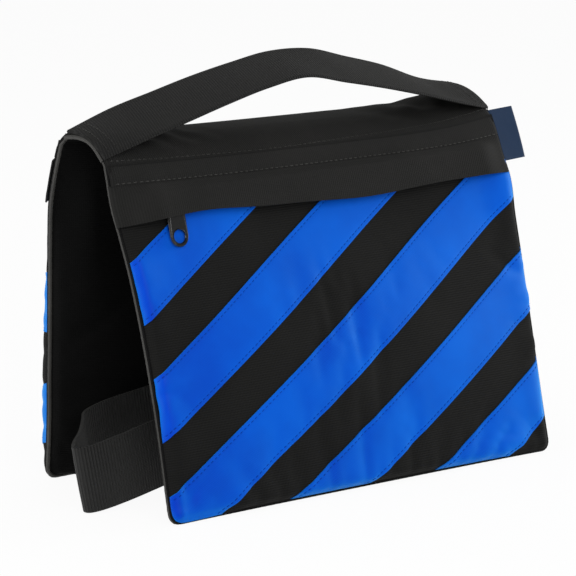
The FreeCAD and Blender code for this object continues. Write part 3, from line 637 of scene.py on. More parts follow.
# Point over the saddle: arc centre + radius times the direction at that angle from the tilted crest
def saddlePlace(across, angle, radius):
    across, angle, radius = np.broadcast_arrays(across, angle, radius)
    ray = arcNormal * np.cos(angle)[..., None] + arcAlong * np.sin(angle)[..., None]
    point = arcCentre + ray * (radius + saddleWrinkles(across, angle))[..., None]
    forward, fall = saddleSettle(across, angle)
    return point + np.stack([across, forward, -fall], -1)


# (1 - the square of the share across) to the power 1.3: full in the middle, flat at both seams
def fullness(across):
    return np.clip(1 - (across / halfWidth) ** 2, 0, 1) ** 1.3


# Sine of half a turn over the share to the power 1.15, itself to the power 1.3: fullest below the middle
def swell(share):
    return np.sin(math.pi * np.clip(share, 0, 1) ** 1.15) ** 1.3


def outerHeight(across, down):
    share = (down - bag["crownStart"]) / (drop - bag["crownStart"])
    return halfStack + bag["outerCrown"] * fullness(across) * swell(share)


def innerDepth(across, share):
    foot = bag["footDepth"] * math.cos(lean["front"]) * np.clip(share, 0, 1) ** 3
    return halfStack + fullness(across) * (foot + bag["innerBelly"] * swell(share))


# Distance down the cloth at which the floor lies, for a point that far outward
def floorLine(side, outward):
    return (foldHeight[side] + outward * math.sin(lean[side])) / math.cos(lean[side])


# The lower edge is drawn up between its corners: rise times (1 -
# the share across, cubed) times the share down, to the power 6
def drawnUp(across, down):
    share = np.clip((down - bag["panelTop"]) / (drop - bag["panelTop"]), 0, 1)
    return bag["edgeRise"] * (1 - np.abs(across / halfWidth) ** 3) * share ** 6


# The simulated cloth's rows and columns, and the finer steps in which its inner line is first measured
pouchGrid = {"rows": 37, "columns": 57, "bellySteps": 300, "footSteps": 60}
rowShare = np.linspace(0, 1, pouchGrid["rows"])
columnAcross = np.linspace(-halfWidth, halfWidth, pouchGrid["columns"])


def outerGrid(side):
    down = (bag["panelTop"] + rowShare * (drop - bag["panelTop"]))[:, None]
    across = columnAcross[None, :]
    return pouchPlace(side, across, outerHeight(across, down), down - drawnUp(across, down))


# Each column runs down the belly and back along the floor to the lower seam, in equal steps along its line
def innerGrid(side):
    across = columnAcross[None, :]
    share = np.linspace(0, 1, pouchGrid["bellySteps"])[:, None]
    depthEnd = innerDepth(across, 1.0)
    end = floorLine(side, -depthEnd)
    first = (bag["panelTop"] - bag["crownStart"]) / (end - bag["crownStart"])
    bellyShare = first + share * (1 - first)
    bellyDown = bag["crownStart"] + bellyShare * (end - bag["crownStart"])
    bellyDepth = innerDepth(across, bellyShare)
    footShare = np.linspace(0, 1, pouchGrid["footSteps"])[1:, None]
    footDepth = depthEnd + footShare * (halfStack - depthEnd)
    footDown = floorLine(side, -footDepth)
    depth = np.concatenate([bellyDepth, footDepth])
    down = np.concatenate([bellyDown, footDown])
    line = pouchPlace(side, across, -depth, down - drawnUp(across, down) * (depth < depthEnd + 0.01))
    step = np.linalg.norm(np.diff(line, axis=0), axis=-1)
    length = np.concatenate([np.zeros((1, line.shape[1])), np.cumsum(step, axis=0)])
    target = length[-1][None, :] * rowShare[:, None]
    columns = [[np.interp(target[:, j], length[:, j], line[:, j, k]) for k in range(3)]
               for j in range(line.shape[1])]
    return np.array(columns).transpose(2, 0, 1)


# Light sheeting: hard to stretch, easy to bend and cut 0.6% larger than its outline
pouchSheeting = {"quality": 6, "mass": 0.3, "tension_stiffness": 18, "compression_stiffness": 18,
                 "bending_stiffness": 0.8, "shrink_min": -0.006}
inflation = {"cap": 4.0, "pressure": 2.6, "freed": (0.12, 0.42), "frames": 20, "floor": 0.3}


# Cloth under pressure from inside, held along its seams; each point
# moves by the cap times the tanh of its free move over the cap
def inflate(name, points, quads, pinned):
    mesh = bpy.data.meshes.new(name)
    mesh.from_pydata((points * millimetre).tolist(), [], quads.tolist())
    piece = bpy.data.objects.new(name, mesh)
    scene.collection.objects.link(piece)
    group = piece.vertex_groups.new(name="seams")
    group.add(pinned.tolist(), 1.0, "REPLACE")
    cloth = piece.modifiers.new("Cloth", "CLOTH")
    for setting, value in pouchSheeting.items():
        setattr(cloth.settings, setting, value)
    cloth.settings.vertex_group_mass = "seams"
    cloth.settings.use_pressure = True
    cloth.settings.uniform_pressure_force = inflation["pressure"]
    cloth.settings.effector_weights.gravity = 0
    cloth.collision_settings.use_collision = False
    for number in range(inflation["frames"]):
        scene.frame_set(number + 1)
    held = piece.evaluated_get(bpy.context.evaluated_depsgraph_get())
    moved = np.empty(len(points) * 3, np.float32)
    held.data.vertices.foreach_get("co", moved)
    scene.frame_set(1)
    bpy.data.objects.remove(piece)
    bpy.data.meshes.remove(mesh)
    move = moved.reshape(-1, 3).astype(float) / millimetre - points
    size = np.linalg.norm(move, axis=1, keepdims=True)
    print(name, "swells by at most", round(float(size.max()), 1), "mm before its cap")
    cap = inflation["cap"]
    return points + move / np.maximum(size, 1e-6) * cap * np.tanh(size / cap)


def pouchSheets(side):
    outer, inner = outerGrid(side), innerGrid(side)
    rows, columns = outer.shape[:2]
    count = rows * columns
    cells = gridCells(rows, columns)
    numbers = np.arange(count).reshape(rows, columns)
    loop = np.concatenate([numbers[0], numbers[1:, -1], numbers[-1, -2::-1], numbers[-2:0:-1, 0]])
    after = np.roll(loop, -1)
    bridge = np.stack([loop, after, after + count, loop + count], -1)
    quads = np.concatenate([cells[:, ::-1], cells + count, bridge])
    pinned = np.concatenate([loop, loop + count, numbers[1], numbers[1] + count])
    start = np.concatenate([outer.reshape(-1, 3), inner.reshape(-1, 3)])
    points = inflate(side + "PouchCloth", start, quads, pinned)
    # The cloth above the filling, behind the flap and the zip pull, stays as it was cut
    freed = ease(np.tile(rowShare[:, None], (2, columns)).reshape(-1, 1), *inflation["freed"])
    points = start + (points - start) * freed
    points[:, 2] = np.maximum(points[:, 2], inflation["floor"])
    return points[:count].reshape(outer.shape), points[count:].reshape(inner.shape)


# A square corner turned round: inside the corner's square, each point keeps its share of the way out
def roundedCorner(across, down):
    radius = bag["cornerRadius"]
    out = np.abs(across) - (halfWidth - radius)
    low = down - (drop - radius)
    inside = (out > 0) & (low > 0)
    scale = np.where(inside, np.maximum(out, low) / np.maximum(np.hypot(out, low), 1e-9), 1.0)
    newAcross = np.where(inside, np.sign(across) * (halfWidth - radius + out * scale), across)
    newDown = np.where(inside, drop - radius + low * scale, down)
    return newAcross, newDown


# Sides draw in where the filling stretches the cloth: the left and right inset at five distances down,
# joined by straight lines that are then smoothed over a quarter of the height
waist = {"down": (28.0, 70.0, 115.0, 160.0, 197.0),
         "front": ((0.0, 2.4, 3.4, 2.2, 0.0), (-1.2, -1.8, -0.6, 1.4, 2.4)),
         "rear": ((0.0, 0.2, 0.4, 0.4, 0.0), (0.0, 0.2, 0.4, 0.4, 0.0)), "steps": 40, "window": 11}


def drawnIn(side, across, down):
    knots = np.linspace(waist["down"][0], waist["down"][-1], waist["steps"])
    window = waist["window"]
    inset = []
    for values in waist[side]:
        smooth = np.interp(knots, waist["down"], values)
        smooth = np.convolve(np.pad(smooth, window // 2, mode="edge"), np.ones(window) / window, mode="valid")
        inset.append(np.interp(down, knots, smooth))
    share = across / halfWidth
    return np.where(share < 0, -inset[0] * share ** 3, -inset[1] * share ** 3)


# Cloth turns down into the seam and swells beside it. With t = 1 - e to the
# minus (distance from the edge over the reach) to the power 1.5: rise times t
# times e to the minus (distance over the fade) squared, less sunk times (1 - t)
pillowEdge = {"front": 2.2, "rear": 7.0, "reach": 2.4, "sunk": 1.6, "fade": 15.0, "from": (42.0, 60.0)}


def edgeSwell(across, down, rise):
    edge = np.minimum(halfWidth - np.abs(across), drop - down) - panelMesh["edge"]
    top = ease(down, *pillowEdge["from"])
    turned = 1 - np.exp(-(np.clip(edge, 0, None) / pillowEdge["reach"]) ** 1.5)
    far = np.exp(-(np.clip(edge, 0, None) / pillowEdge["fade"]) ** 2)
    return (rise * turned * far) * top - pillowEdge["sunk"] * (1 - turned)


# Place and outward direction on a pouch's sheet, lifted by a height; unless told, its edge rises by 1.7
def onSheet(grid, across, down, lift, outside, rise=1.7):
    across, down = np.broadcast_arrays(across, down)
    swelling = edgeSwell(across, down, rise)
    # The rear pouch is the front one turned half round, so its own left is the other way in the frame
    turned = grid[0, -1, 0] < grid[0, 0, 0]
    drawing = drawnIn("rear" if turned else "front", across, down) * (-1.0 if turned else 1.0)
    across, down = roundedCorner(across, down)
    row = (down - bag["panelTop"]) / (drop - bag["panelTop"]) * (grid.shape[0] - 1)
    column = (across + halfWidth) / (2 * halfWidth) * (grid.shape[1] - 1)
    here = sampleGrid(grid, row, column)
    acrossWay = sampleGrid(grid, row, column + 0.3) - sampleGrid(grid, row, column - 0.3)
    downWays = sampleGrid(grid, row + 0.3, column) - sampleGrid(grid, row - 0.3, column)
    normal = unit(np.cross(acrossWay, downWays))
    normal = normal * np.sign(np.sum(normal * outside, -1, keepdims=True))
    here = here + drawing[..., None] * np.array([1.0, 0, 0])
    return here + normal * (np.asarray(lift) + swelling)[..., None], normal


panelMesh = {"across": 161, "down": 103, "head": 17, "edge": 1.2, "wall": 0.9}


def makePanels(side, sheets):
    outer, inner = sheets
    reach = halfWidth - panelMesh["edge"]
    across = np.linspace(-reach, reach, panelMesh["across"])[None, :]
    down = np.linspace(bag["panelTop"], drop - panelMesh["edge"], panelMesh["down"])[:, None]
    coords = gridOf(across, down)
    facing = outwardWay(side)
    top, way = onSheet(outer, across, down, 0.0, facing, pillowEdge[side])
    # The panel's darker cloth is painted shade
    panel = addPiece(side + "PanelCloth", shellPart(top, top - way * panelMesh["wall"], coords), shadedPanelCloth)
    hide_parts(side + "_outer_panel")
    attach(panel, side + "_pouch")
    # The inner sheet runs on above the filling, straight up to the fold
    top, way = onSheet(inner, across, down, 0.0, -facing)
    upper = np.linspace(bag["foldGap"][side], bag["panelTop"], panelMesh["head"] + 1)[:-1, None]
    head = pouchPlace(side, across, -halfStack, upper)
    headWay = np.broadcast_to(-facing, head.shape)
    top, way = np.concatenate([head, top]), np.concatenate([headWay, way])
    coords = gridOf(across, np.concatenate([upper, down]))
    # The inner sheet's nearly black colour is painted shade between the pouches
    panel = addPiece(side + "InnerCloth", shellPart(top, top - way * panelMesh["wall"], coords), shadedLiningCloth)
    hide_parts(side + "_inner_panel")
    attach(panel, side + "_pouch")


# Round the pouch the inner sheet's edge is rolled over the seam, and its allowance lies in the groove beside
# it, coloured nearly black as painted shade
seam = {"radius": 1.1, "height": -1.3, "step": 2.0, "puckerPitch": 3.4, "pucker": 0.06, "groove": 3.4,
        "wall": 1.6, "rim": 0.5, "straightFrom": 60.0, "cornerSteps": 12,
        "start": {"front": 1.5, "rear": 3.0}, "fold": {"front": 0.93, "rear": 0.84}}


# Down one side, round both lower corners and up the other, in equal steps
def seamPath(side, inset):
    reach, low, radius = halfWidth - inset, drop - inset, bag["cornerRadius"] - inset
    start = seam["start"][side]
    turn = np.linspace(0, math.pi / 2, seam["cornerSteps"])
    across = np.concatenate([[-reach, -reach], -reach + radius - radius * np.cos(turn),
                             reach - radius + radius * np.sin(turn), [reach]])
    down = np.concatenate([[start, seam["straightFrom"]], low - radius + radius * np.sin(turn),
                           low - radius + radius * np.cos(turn), [start]])
    length = lengthAlong(gridOf(across, down))
    at = np.arange(0, length[-1], seam["step"])
    return np.interp(at, length, across), np.interp(at, length, down)


# Both ends of the line run on over the fold to the saddle
def seamLine(side, inset, height):
    across, down = seamPath(side, inset)
    across = across + drawnIn(side, across, down)
    line = pouchPlace(side, across, height, down - drawnUp(across, down))
    angle = wayOut[side] * halfArc * seam["fold"][side]
    return np.concatenate([saddlePlace(line[:1, 0], angle, arcRadius + height), line,
                           saddlePlace(line[-1:, 0], angle, arcRadius + height)])


def makeSeam(side):
    line = seamLine(side, seam["radius"], seam["height"])
    at = np.arange(len(line)) * seam["step"]
    tangent = unit(np.gradient(line, axis=0))
    up = np.broadcast_to(outwardWay(side), line.shape)
    radius = seam["radius"] * (1 + seam["pucker"] * np.sin(2 * math.pi * at / seam["puckerPitch"]))
    tube = tubePart(line, unit(np.cross(tangent, up)), up, gridOf(radius, radius))
    # The roll's lighter colour is painted highlight
    roll = addPiece(side + "SeamRoll", tube, highlightedSeamCloth)
    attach(roll, side + "_pouch")
    rim, inner = seamLine(side, seam["rim"], 0.0), seamLine(side, seam["groove"], 0.0)
    share = np.arange(len(rim)) / (len(rim) - 1)
    place = share * (len(inner) - 1)
    inner = gridOf(*[np.interp(place, np.arange(len(inner)), inner[:, k]) for k in range(3)])
    width = np.linspace(0, 1, 4)[None, :, None]
    middle = rim[:, None] * (1 - width) + inner[:, None] * width
    half = outwardWay(side) * seam["wall"] / 2
    coords = gridOf(np.arange(len(rim))[:, None] * seam["step"], width[..., 0] * 3)
    strip = shellPart(middle + half, middle - half, coords, roll=0.1)
    # The allowance's nearly black colour is painted shade in the groove
    tape = addPiece(side + "SeamTape", strip, shadedAllowanceCloth)
    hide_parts(side + "_seam_tape")
    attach(tape, side + "_pouch")


# Satin ribbons sewn aslant over the outer panel; rows of the mesh lie closer together near a ribbon's
# edges, and its stitches keep to its folded edges
ribbon = {"slant": 31.9, "first": 47.7, "pitch": 53.4, "width": 28.9, "lift": 0.7, "fold": 2.1, "puff": 0.2,
          "dip": 0.1, "dipWidth": 0.6, "inset": 1.3, "step": 2.2, "under": 0.25,
          "edgeRows": (0, 0.25, 0.6, 1.1, 1.6, 2.1, 2.6, 3.2, 4.2), "middle": 5.5, "middleRows": 14,
          "leastLength": 0.6, "kinkMargin": 0.3, "stitchPitch": 3.0, "stitchEnd": 2.0,
          "stitchWay": (0.85, -0.53)}
slant = math.radians(ribbon["slant"])
slantSine, slantCosine = math.sin(slant), math.cos(slant)
# Length, width and height of one stitch
stitchSize = (2.1, 0.5, 0.5)


# Ribbon height: rises at the folded edge, dips at the stitch line and puffs between the two lines
def ribbonLift(share):
    width = ribbon["width"]
    edge = np.minimum(share, 1 - share) * width
    dip = np.exp(-((edge - ribbon["fold"]) / ribbon["dipWidth"]) ** 2)
    return ribbon["lift"] + ribbon["puff"] * np.sin(math.pi * share) ** 0.5 - ribbon["dip"] * dip


# Range along a slanted line that stays inside the panel, for each distance down across the lines
def ribbonReach(distance, low):
    left, right = ribbon["inset"], 2 * halfWidth - ribbon["inset"]
    shifted, lowered = distance * slantSine, distance * slantCosine
    begin = np.maximum((left - shifted) / slantCosine, (lowered - low) / slantSine)
    end = np.minimum((right - shifted) / slantCosine, (lowered - bag["panelTop"]) / slantSine)
    return begin, end


def slantedPlace(distance, along):
    across = distance * slantSine + along * slantCosine - halfWidth
    return across, distance * slantCosine - along * slantSine


def makeRibbons(side, sheets):
    facing = outwardWay(side)
    stitchParts = []
    inset, fullWidth, middle = ribbon["inset"], ribbon["width"], ribbon["middle"]
    low = drop - inset
    edges = np.array(ribbon["edgeRows"])
    evenRows = np.concatenate([edges, np.linspace(middle, fullWidth - middle, ribbon["middleRows"]),
                               fullWidth - edges[::-1]])
    for number in range(5):
        start = ribbon["first"] + number * ribbon["pitch"]
        # A row of its own where the ribbon runs over the panel's lower left or upper right corner
        kinks = np.array([low * slantCosine + inset * slantSine,
                          bag["panelTop"] * slantCosine + (2 * halfWidth - inset) * slantSine])
        margin = ribbon["kinkMargin"]
        kinks = kinks[(kinks > start + margin) & (kinks < start + fullWidth - margin)] - start
        rows = np.unique(np.concatenate([evenRows, kinks]))
        distance = start + rows
        begin, end = ribbonReach(distance, low)
        keep = end - begin > ribbon["leastLength"]
        distance, begin, end, rows = distance[keep], begin[keep], end[keep], rows[keep]
        columns = int((end - begin).max() / ribbon["step"]) + 2
        along = begin[:, None] + np.linspace(0, 1, columns)[None, :] * (end - begin)[:, None]
        across, down = slantedPlace(distance[:, None], along)
        lift = np.broadcast_to(ribbonLift(rows / fullWidth)[:, None], across.shape)
        top, way = onSheet(sheets[0], across, down, lift, facing, pillowEdge[side])
        coords = gridOf(along, rows[:, None])
        shell = shellPart(top, top - way * (lift[..., None] + ribbon["under"]), coords, roll=0.1)
        piece = addPiece(side + "Ribbon" + str(number + 1), shell, satinRibbon)
        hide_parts(side + "_stripe_" + str(number + 1))
        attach(piece, side + "_pouch")
        for line in (ribbon["fold"], fullWidth - ribbon["fold"]):
            begin, end = ribbonReach(np.array([start + line]), low)
            if end[0] - begin[0] > 3 * ribbon["stitchEnd"]:
                endGap = ribbon["stitchEnd"]
                at = np.arange(begin[0] + endGap, end[0] - endGap, ribbon["stitchPitch"])
                across, down = slantedPlace(start + line, at)
                lift = ribbon["lift"] + 0 * at
                stepAcross, stepDown = ribbon["stitchWay"]
                spot, way = onSheet(sheets[0], across, down, lift, facing, pillowEdge[side])
                ahead, _ = onSheet(sheets[0], across + stepAcross, down + stepDown, lift, facing,
                                   pillowEdge[side])
                tangent = unit(ahead - spot)
                turned = np.cross(way, tangent)
                stitchParts.append(repeatPart(threadShape(*stitchSize), spot, tangent, turned, way))
    stitches = addPiece(side + "RibbonStitches", stitchParts, satinThread, sharp=80)
    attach(stitches, side + "_pouch")


# Filling: a film bag inside the pouch and the sand heaped in its lower part, each from its top to the gap
# at its sides and foot, and drawn in from the cloth by its inset
filling = {"film": {"top": 42.0, "inset": 2.0, "gap": 17.0},
           "sand": {"top": 78.0, "inset": 3.2, "gap": 18.0}, "rows": 41, "columns": 61}


def pillowPart(side, sheets, kind):
    facing = outwardWay(side)
    top, inset, gap = filling[kind]["top"], filling[kind]["inset"], filling[kind]["gap"]
    across = np.linspace(-halfWidth + gap, halfWidth - gap, filling["columns"])[None, :]
    down = np.linspace(top, drop - gap, filling["rows"])[:, None]
    outer, _ = onSheet(sheets[0], across, down, -inset, facing)
    inner, _ = onSheet(sheets[1], across, down, -inset, -facing)
    return shellPart(outer, inner, gridOf(across, down), roll=0.0)


def makeFilling(side, sheets):
    film = addPiece(side + "FilmBag", pillowPart(side, sheets, "film"), clearFilm)
    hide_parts(side + "_liner_bag")
    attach(film, side + "_pouch")
    sand = addPiece(side + "SandHeap", pillowPart(side, sheets, "sand"), drySand)
    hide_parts(side + "_sand_fill")
    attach(sand, side + "_pouch")


for side in ("front", "rear"):
    sheets = pouchSheets(side)
    makePanels(side, sheets)
    makeSeam(side)
    makeRibbons(side, sheets)
    makeFilling(side, sheets)
print("pouches, ribbons and filling made")


# Saddle and yoke

# Bakes the cloth's place into its mesh, after working out where the fold starts on the saddle's arc
def blendOverFold(piece, side, share, down):
    foldStart = saddlePlace(0.0, wayOut[side] * halfArc * share, arcRadius) * millimetre
    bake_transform(piece)


def makeYoke(side):
    reach = halfWidth - saddleShape["inset"]
    across = np.linspace(-reach, reach, saddleShape["across"])
    angles = wayOut[side] * np.linspace(0, halfArc * saddleShape["foldFrom"][side], saddleShape["arcRows"])
    downs = np.linspace(saddleShape["foldTo"][side], saddleShape["bandEnd"], saddleShape["bandRows"])
    fallen = edgeFall(across)[None, :]
    layers = []
    for height, bandHeight in ((halfStack, halfStack + saddleShape["bandLift"]),
                               (halfStack - bag["cloth"], halfStack + saddleShape["bandUnder"])):
        saddlePart = saddlePlace(across[None, :], angles[:, None], arcRadius + height - fallen)
        bandRise = height + (bandHeight - height) * ease(downs, *saddleShape["bandFrom"])[:, None] - fallen
        band = pouchPlace(side, -wayOut[side] * across[None, :], bandRise, downs[:, None])
        # The fold between them: the cubic with the two cloths' own directions at its ends
        startWay = unit(saddlePart[-1] - saddlePart[-2])
        endWay = unit(band[1] - band[0])
        reach = np.linalg.norm(band[0] - saddlePart[-1], axis=-1, keepdims=True) * saddleShape["foldReach"]
        share = np.linspace(0, 1, saddleShape["foldRows"])[1:-1, None, None]
        fold = ((2 * share ** 3 - 3 * share ** 2 + 1) * saddlePart[-1]
                + (-2 * share ** 3 + 3 * share ** 2) * band[0]
                + (share ** 3 - 2 * share ** 2 + share) * reach * startWay
                + (share ** 3 - share ** 2) * reach * endWay)
        layers.append(np.concatenate([saddlePart, fold, band]))
    top, bottom = layers
    length = lengthAlong(top[:, saddleShape["across"] // 2])
    coords = gridOf(across[None, :], length[:, None])
    piece = addPiece(side + "YokeCloth", shellPart(top, bottom, coords), yokeCloth)
    names = [side + "_yoke_band"] + (["saddle_top"] if side == "front" else [])
    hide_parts(*names)
    blendOverFold(piece, side, *saddleShape["bend"])
    return top


lining = {"across": 91, "arcRows": 16, "arcEnd": 0.94, "inset": 0.9, "wall": 0.9, "bend": (0.85, 4.0),
          "downs": {"front": (1.8, 4.0), "rear": (3.0, 5.0)}}


def makeLining(side):
    across = np.linspace(-halfWidth + lining["inset"], halfWidth - lining["inset"], lining["across"])
    angles = wayOut[side] * np.linspace(0, halfArc * lining["arcEnd"], lining["arcRows"])
    downs = np.linspace(*lining["downs"][side], 3)
    layers = []
    for height in (-halfStack, -halfStack + lining["wall"]):
        saddlePart = saddlePlace(across[None, :], angles[:, None], arcRadius + height)
        band = pouchPlace(side, -wayOut[side] * across[None, :], height, downs[:, None])
        layers.append(np.concatenate([saddlePart, band]))
    length = lengthAlong(layers[0][:, lining["across"] // 2])
    coords = gridOf(across[None, :], length[:, None])
    # The lining's nearly black colour is painted shade under the saddle
    piece = addPiece(side + "SaddleLining", shellPart(layers[0], layers[1], coords), shadedLiningCloth)
    if side == "front":
        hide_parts("saddle_lining")
    blendOverFold(piece, side, *lining["bend"])


# One rolled edge under each end of the saddle, with the
# seam allowance above it, coloured dark as painted shade, over shares of the half arc
saddleEnd = {"radius": 1.2, "height": -1.0, "inset": 0.9, "groove": 4.0, "tapeHeight": 0.6, "wall": 1.4,
             "from": -0.95, "to": 0.88, "steps": 40}


def makeSaddleEnd(end):
    sign = -1.0 if end == "left" else 1.0
    place = sign * (halfWidth - saddleEnd["inset"])
    angles = np.linspace(saddleEnd["from"], saddleEnd["to"], saddleEnd["steps"]) * halfArc
    line = saddlePlace(place, angles, arcRadius + saddleEnd["height"])
    tangent = unit(np.gradient(line, axis=0))
    sideways = np.broadcast_to(np.array([1.0, 0, 0]), line.shape)
    tube = tubePart(line, sideways, np.cross(tangent, sideways), (saddleEnd["radius"], saddleEnd["radius"]))
    # The roll's lighter colour is painted highlight
    roll = addPiece(end + "SaddleRoll", tube, highlightedSeamCloth)
    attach(roll, "saddle")
    across = place - sign * np.linspace(0, saddleEnd["groove"], 5)[None, :]
    middle = arcRadius + saddleEnd["tapeHeight"]
    layers = [saddlePlace(across, angles[:, None], middle + way * saddleEnd["wall"] / 2) for way in (1, -1)]
    coords = gridOf(across, angles[:, None] * arcRadius)
    # The allowance's dark colour is painted shade in the groove
    tape = addPiece(end + "SaddleTape", shellPart(*layers, coords, roll=0.1), shadedAllowanceCloth)
    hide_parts("saddle_" + end + "_seam_tape")
    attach(tape, "saddle")


# Loose flap: leaves the yoke at its lower stitch line, bends out over the
# zip slider and hangs past the zip. Its profile runs through knots, each a
# distance down and a height; each wave is a rise, its place and its width
flapShape = {"knots": ((12.6, 3.1), (14.0, 3.6), (17.0, 6.4), (20.5, 8.8), (28.0, 9.4), (36.3, 9.4)),
             "wall": 1.2, "sewnLift": {"front": 3.6, "rear": 5.0}, "free": (112.0, 133.0), "hang": (14, 36),
             "inset": 0.1, "ripples": ((0.35, 0.045, 0.8), (0.2, 0.11, 2.0)),
             "waves": ((-2.6, -82, 30), (2.6, 28, 38)), "hem": 0.25, "hemFrom": (30.0, 31.0),
             "droop": {"front": 0.0, "rear": 4.0}, "droopFrom": 90, "mapStart": 24,
             "bend": (3.3, 12.6, 15.5), "rows": 34, "columns": 141}


def makeFlap(side):
    knots = np.array(flapShape["knots"])
    line = curveAt(knots, np.linspace(0, len(knots) - 1, flapShape["rows"]))
    reach = halfWidth - flapShape["inset"]
    across = np.linspace(-reach, reach, flapShape["columns"])[None, :]
    down, lift = line[:, :1], line[:, 1:]
    hang = ease(down, *flapShape["hang"])
    # Both ends are caught in the side seams, so the flap bends back to them past the zip's ends
    sewn = ease(np.abs(across), *flapShape["free"])
    lift = lift + (np.minimum(lift, flapShape["sewnLift"][side]) - lift) * sewn
    ripple = sum(height * np.sin(across * rate + phase) for height, rate, phase in flapShape["ripples"])
    ripple = hang * (1 - sewn) * ripple
    hem = flapShape["hem"] * ease(down, *flapShape["hemFrom"])
    # The lower edge is drawn up where the flap stands out over the slider, and hangs lower past the middle
    waves = [rise * np.exp(-((across - place) / width) ** 2) for rise, place, width in flapShape["waves"]]
    wave = hang * sum(waves)
    wave = wave + hang * flapShape["droop"][side] * ease(across, flapShape["droopFrom"], halfWidth)
    down = down + wave
    fallen = edgeFall(across)
    top = pouchPlace(side, across, lift + ripple + hem - fallen, down)
    bottom = pouchPlace(side, across, lift + ripple - flapShape["wall"] - fallen, down)
    length = lengthAlong(line)
    coords = gridOf(across, length[:, None] + flapShape["mapStart"])
    piece = addPiece(side + "FlapCloth", shellPart(top, bottom, coords), yokeCloth)
    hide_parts(side + "_flap")
    height, start, end = flapShape["bend"]
    start, end = [(pouchPlace(side, 0.0, height, down) * millimetre).tolist() for down in (start, end)]
    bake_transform(piece)


facingStrip = {"inset": 1.2, "start": 0.4, "end": 18.3, "under": 0.1, "rows": 9, "columns": 61}


def makeFacing(side):
    reach, start = halfWidth - facingStrip["inset"], bag["foldGap"][side] + facingStrip["start"]
    across = np.linspace(-reach, reach, facingStrip["columns"])[None, :]
    down = np.linspace(start, facingStrip["end"], facingStrip["rows"])[:, None]
    top = pouchPlace(side, across, halfStack + 0 * down, down)
    bottom = pouchPlace(side, across, bag["halfSeam"] + facingStrip["under"] + 0 * down, down)
    # The facing's darker cloth is painted shade
    piece = addPiece(side + "FacingCloth", shellPart(top, bottom, gridOf(across, down)), shadedPanelCloth)
    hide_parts(side + "_top_facing")
    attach(piece, side + "_pouch")


# Two lines of tone-on-tone stitches over the yoke, at
# distances down that change from the left end to the right
yokeStitches = {"pitch": 3.4, "end": 4.0, "hem": 0.4, "lift": 0.05, "thread": (2.3, 0.45, 0.5),
                "lines": ((0.3, 1.0, 1.6, 0.6, -0.5, -1.5), (11.8, 12.6, 12.9, 13.0, 12.9, 12.9))}


def makeYokeStitches(side, cloth):
    inset, lowest = saddleShape["inset"], saddleShape["bandEnd"] - yokeStitches["hem"]
    end = halfWidth - yokeStitches["end"]
    across = np.arange(-end, end, yokeStitches["pitch"])
    column = (across + halfWidth - inset) / (2 * halfWidth - 2 * inset) * (cloth.shape[1] - 1)
    foldFrom = -halfArc * (1 - saddleShape["foldFrom"][side]) * arcRadius
    foldTo = saddleShape["foldTo"][side]
    rowDowns = np.concatenate([np.linspace(foldFrom, foldTo, saddleShape["foldRows"]),
                               np.linspace(foldTo, saddleShape["bandEnd"], saddleShape["bandRows"])[1:]])
    parts = []
    for values in yokeStitches["lines"]:
        down = np.minimum(curveThrough(values, across / (2 * halfWidth) + 0.5), lowest)
        row = np.interp(down, rowDowns, saddleShape["arcRows"] - 1.0 + np.arange(len(rowDowns)))
        spot = sampleGrid(cloth, row, column)
        tangent = unit(sampleGrid(cloth, row, column + 0.3) - spot)
        up = unit(np.cross(tangent, sampleGrid(cloth, row + 0.3, column) - spot))
        up = up * np.sign(np.sum(up * (outwardWay(side) + np.array([0, 0, 1.0])), -1, keepdims=True))
        spot = spot + yokeStitches["lift"] * up
        turned = np.cross(up, tangent)
        parts.append(repeatPart(threadShape(*yokeStitches["thread"]), spot, tangent, turned, up))
    piece = addPiece(side + "YokeStitches", parts, blackThread, sharp=80)
    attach(piece, side + "_pouch")


for side in ("front", "rear"):
    yokeTop = makeYoke(side)
    makeLining(side)
    makeFlap(side)
    makeFacing(side)
    makeYokeStitches(side, yokeTop)
for end in ("left", "right"):
    makeSaddleEnd(end)
print("saddle, yokes and flaps made")


# Zip

zipShape = {"line": 24.0, "reach": 110.0, "tapeReach": 124.0, "tapeWidth": 8.5, "tapeWall": 0.6, "wave": 0.05,
            "waveRate": 0.3, "coilOffset": 2.6, "coilMiddle": 1.75, "toothPitch": 1.5,
            "bead": (2.3, 1.1, 2.2), "sunk": 0.3, "station": -100.0, "bail": 5.3, "rows": 8, "columns": 81}


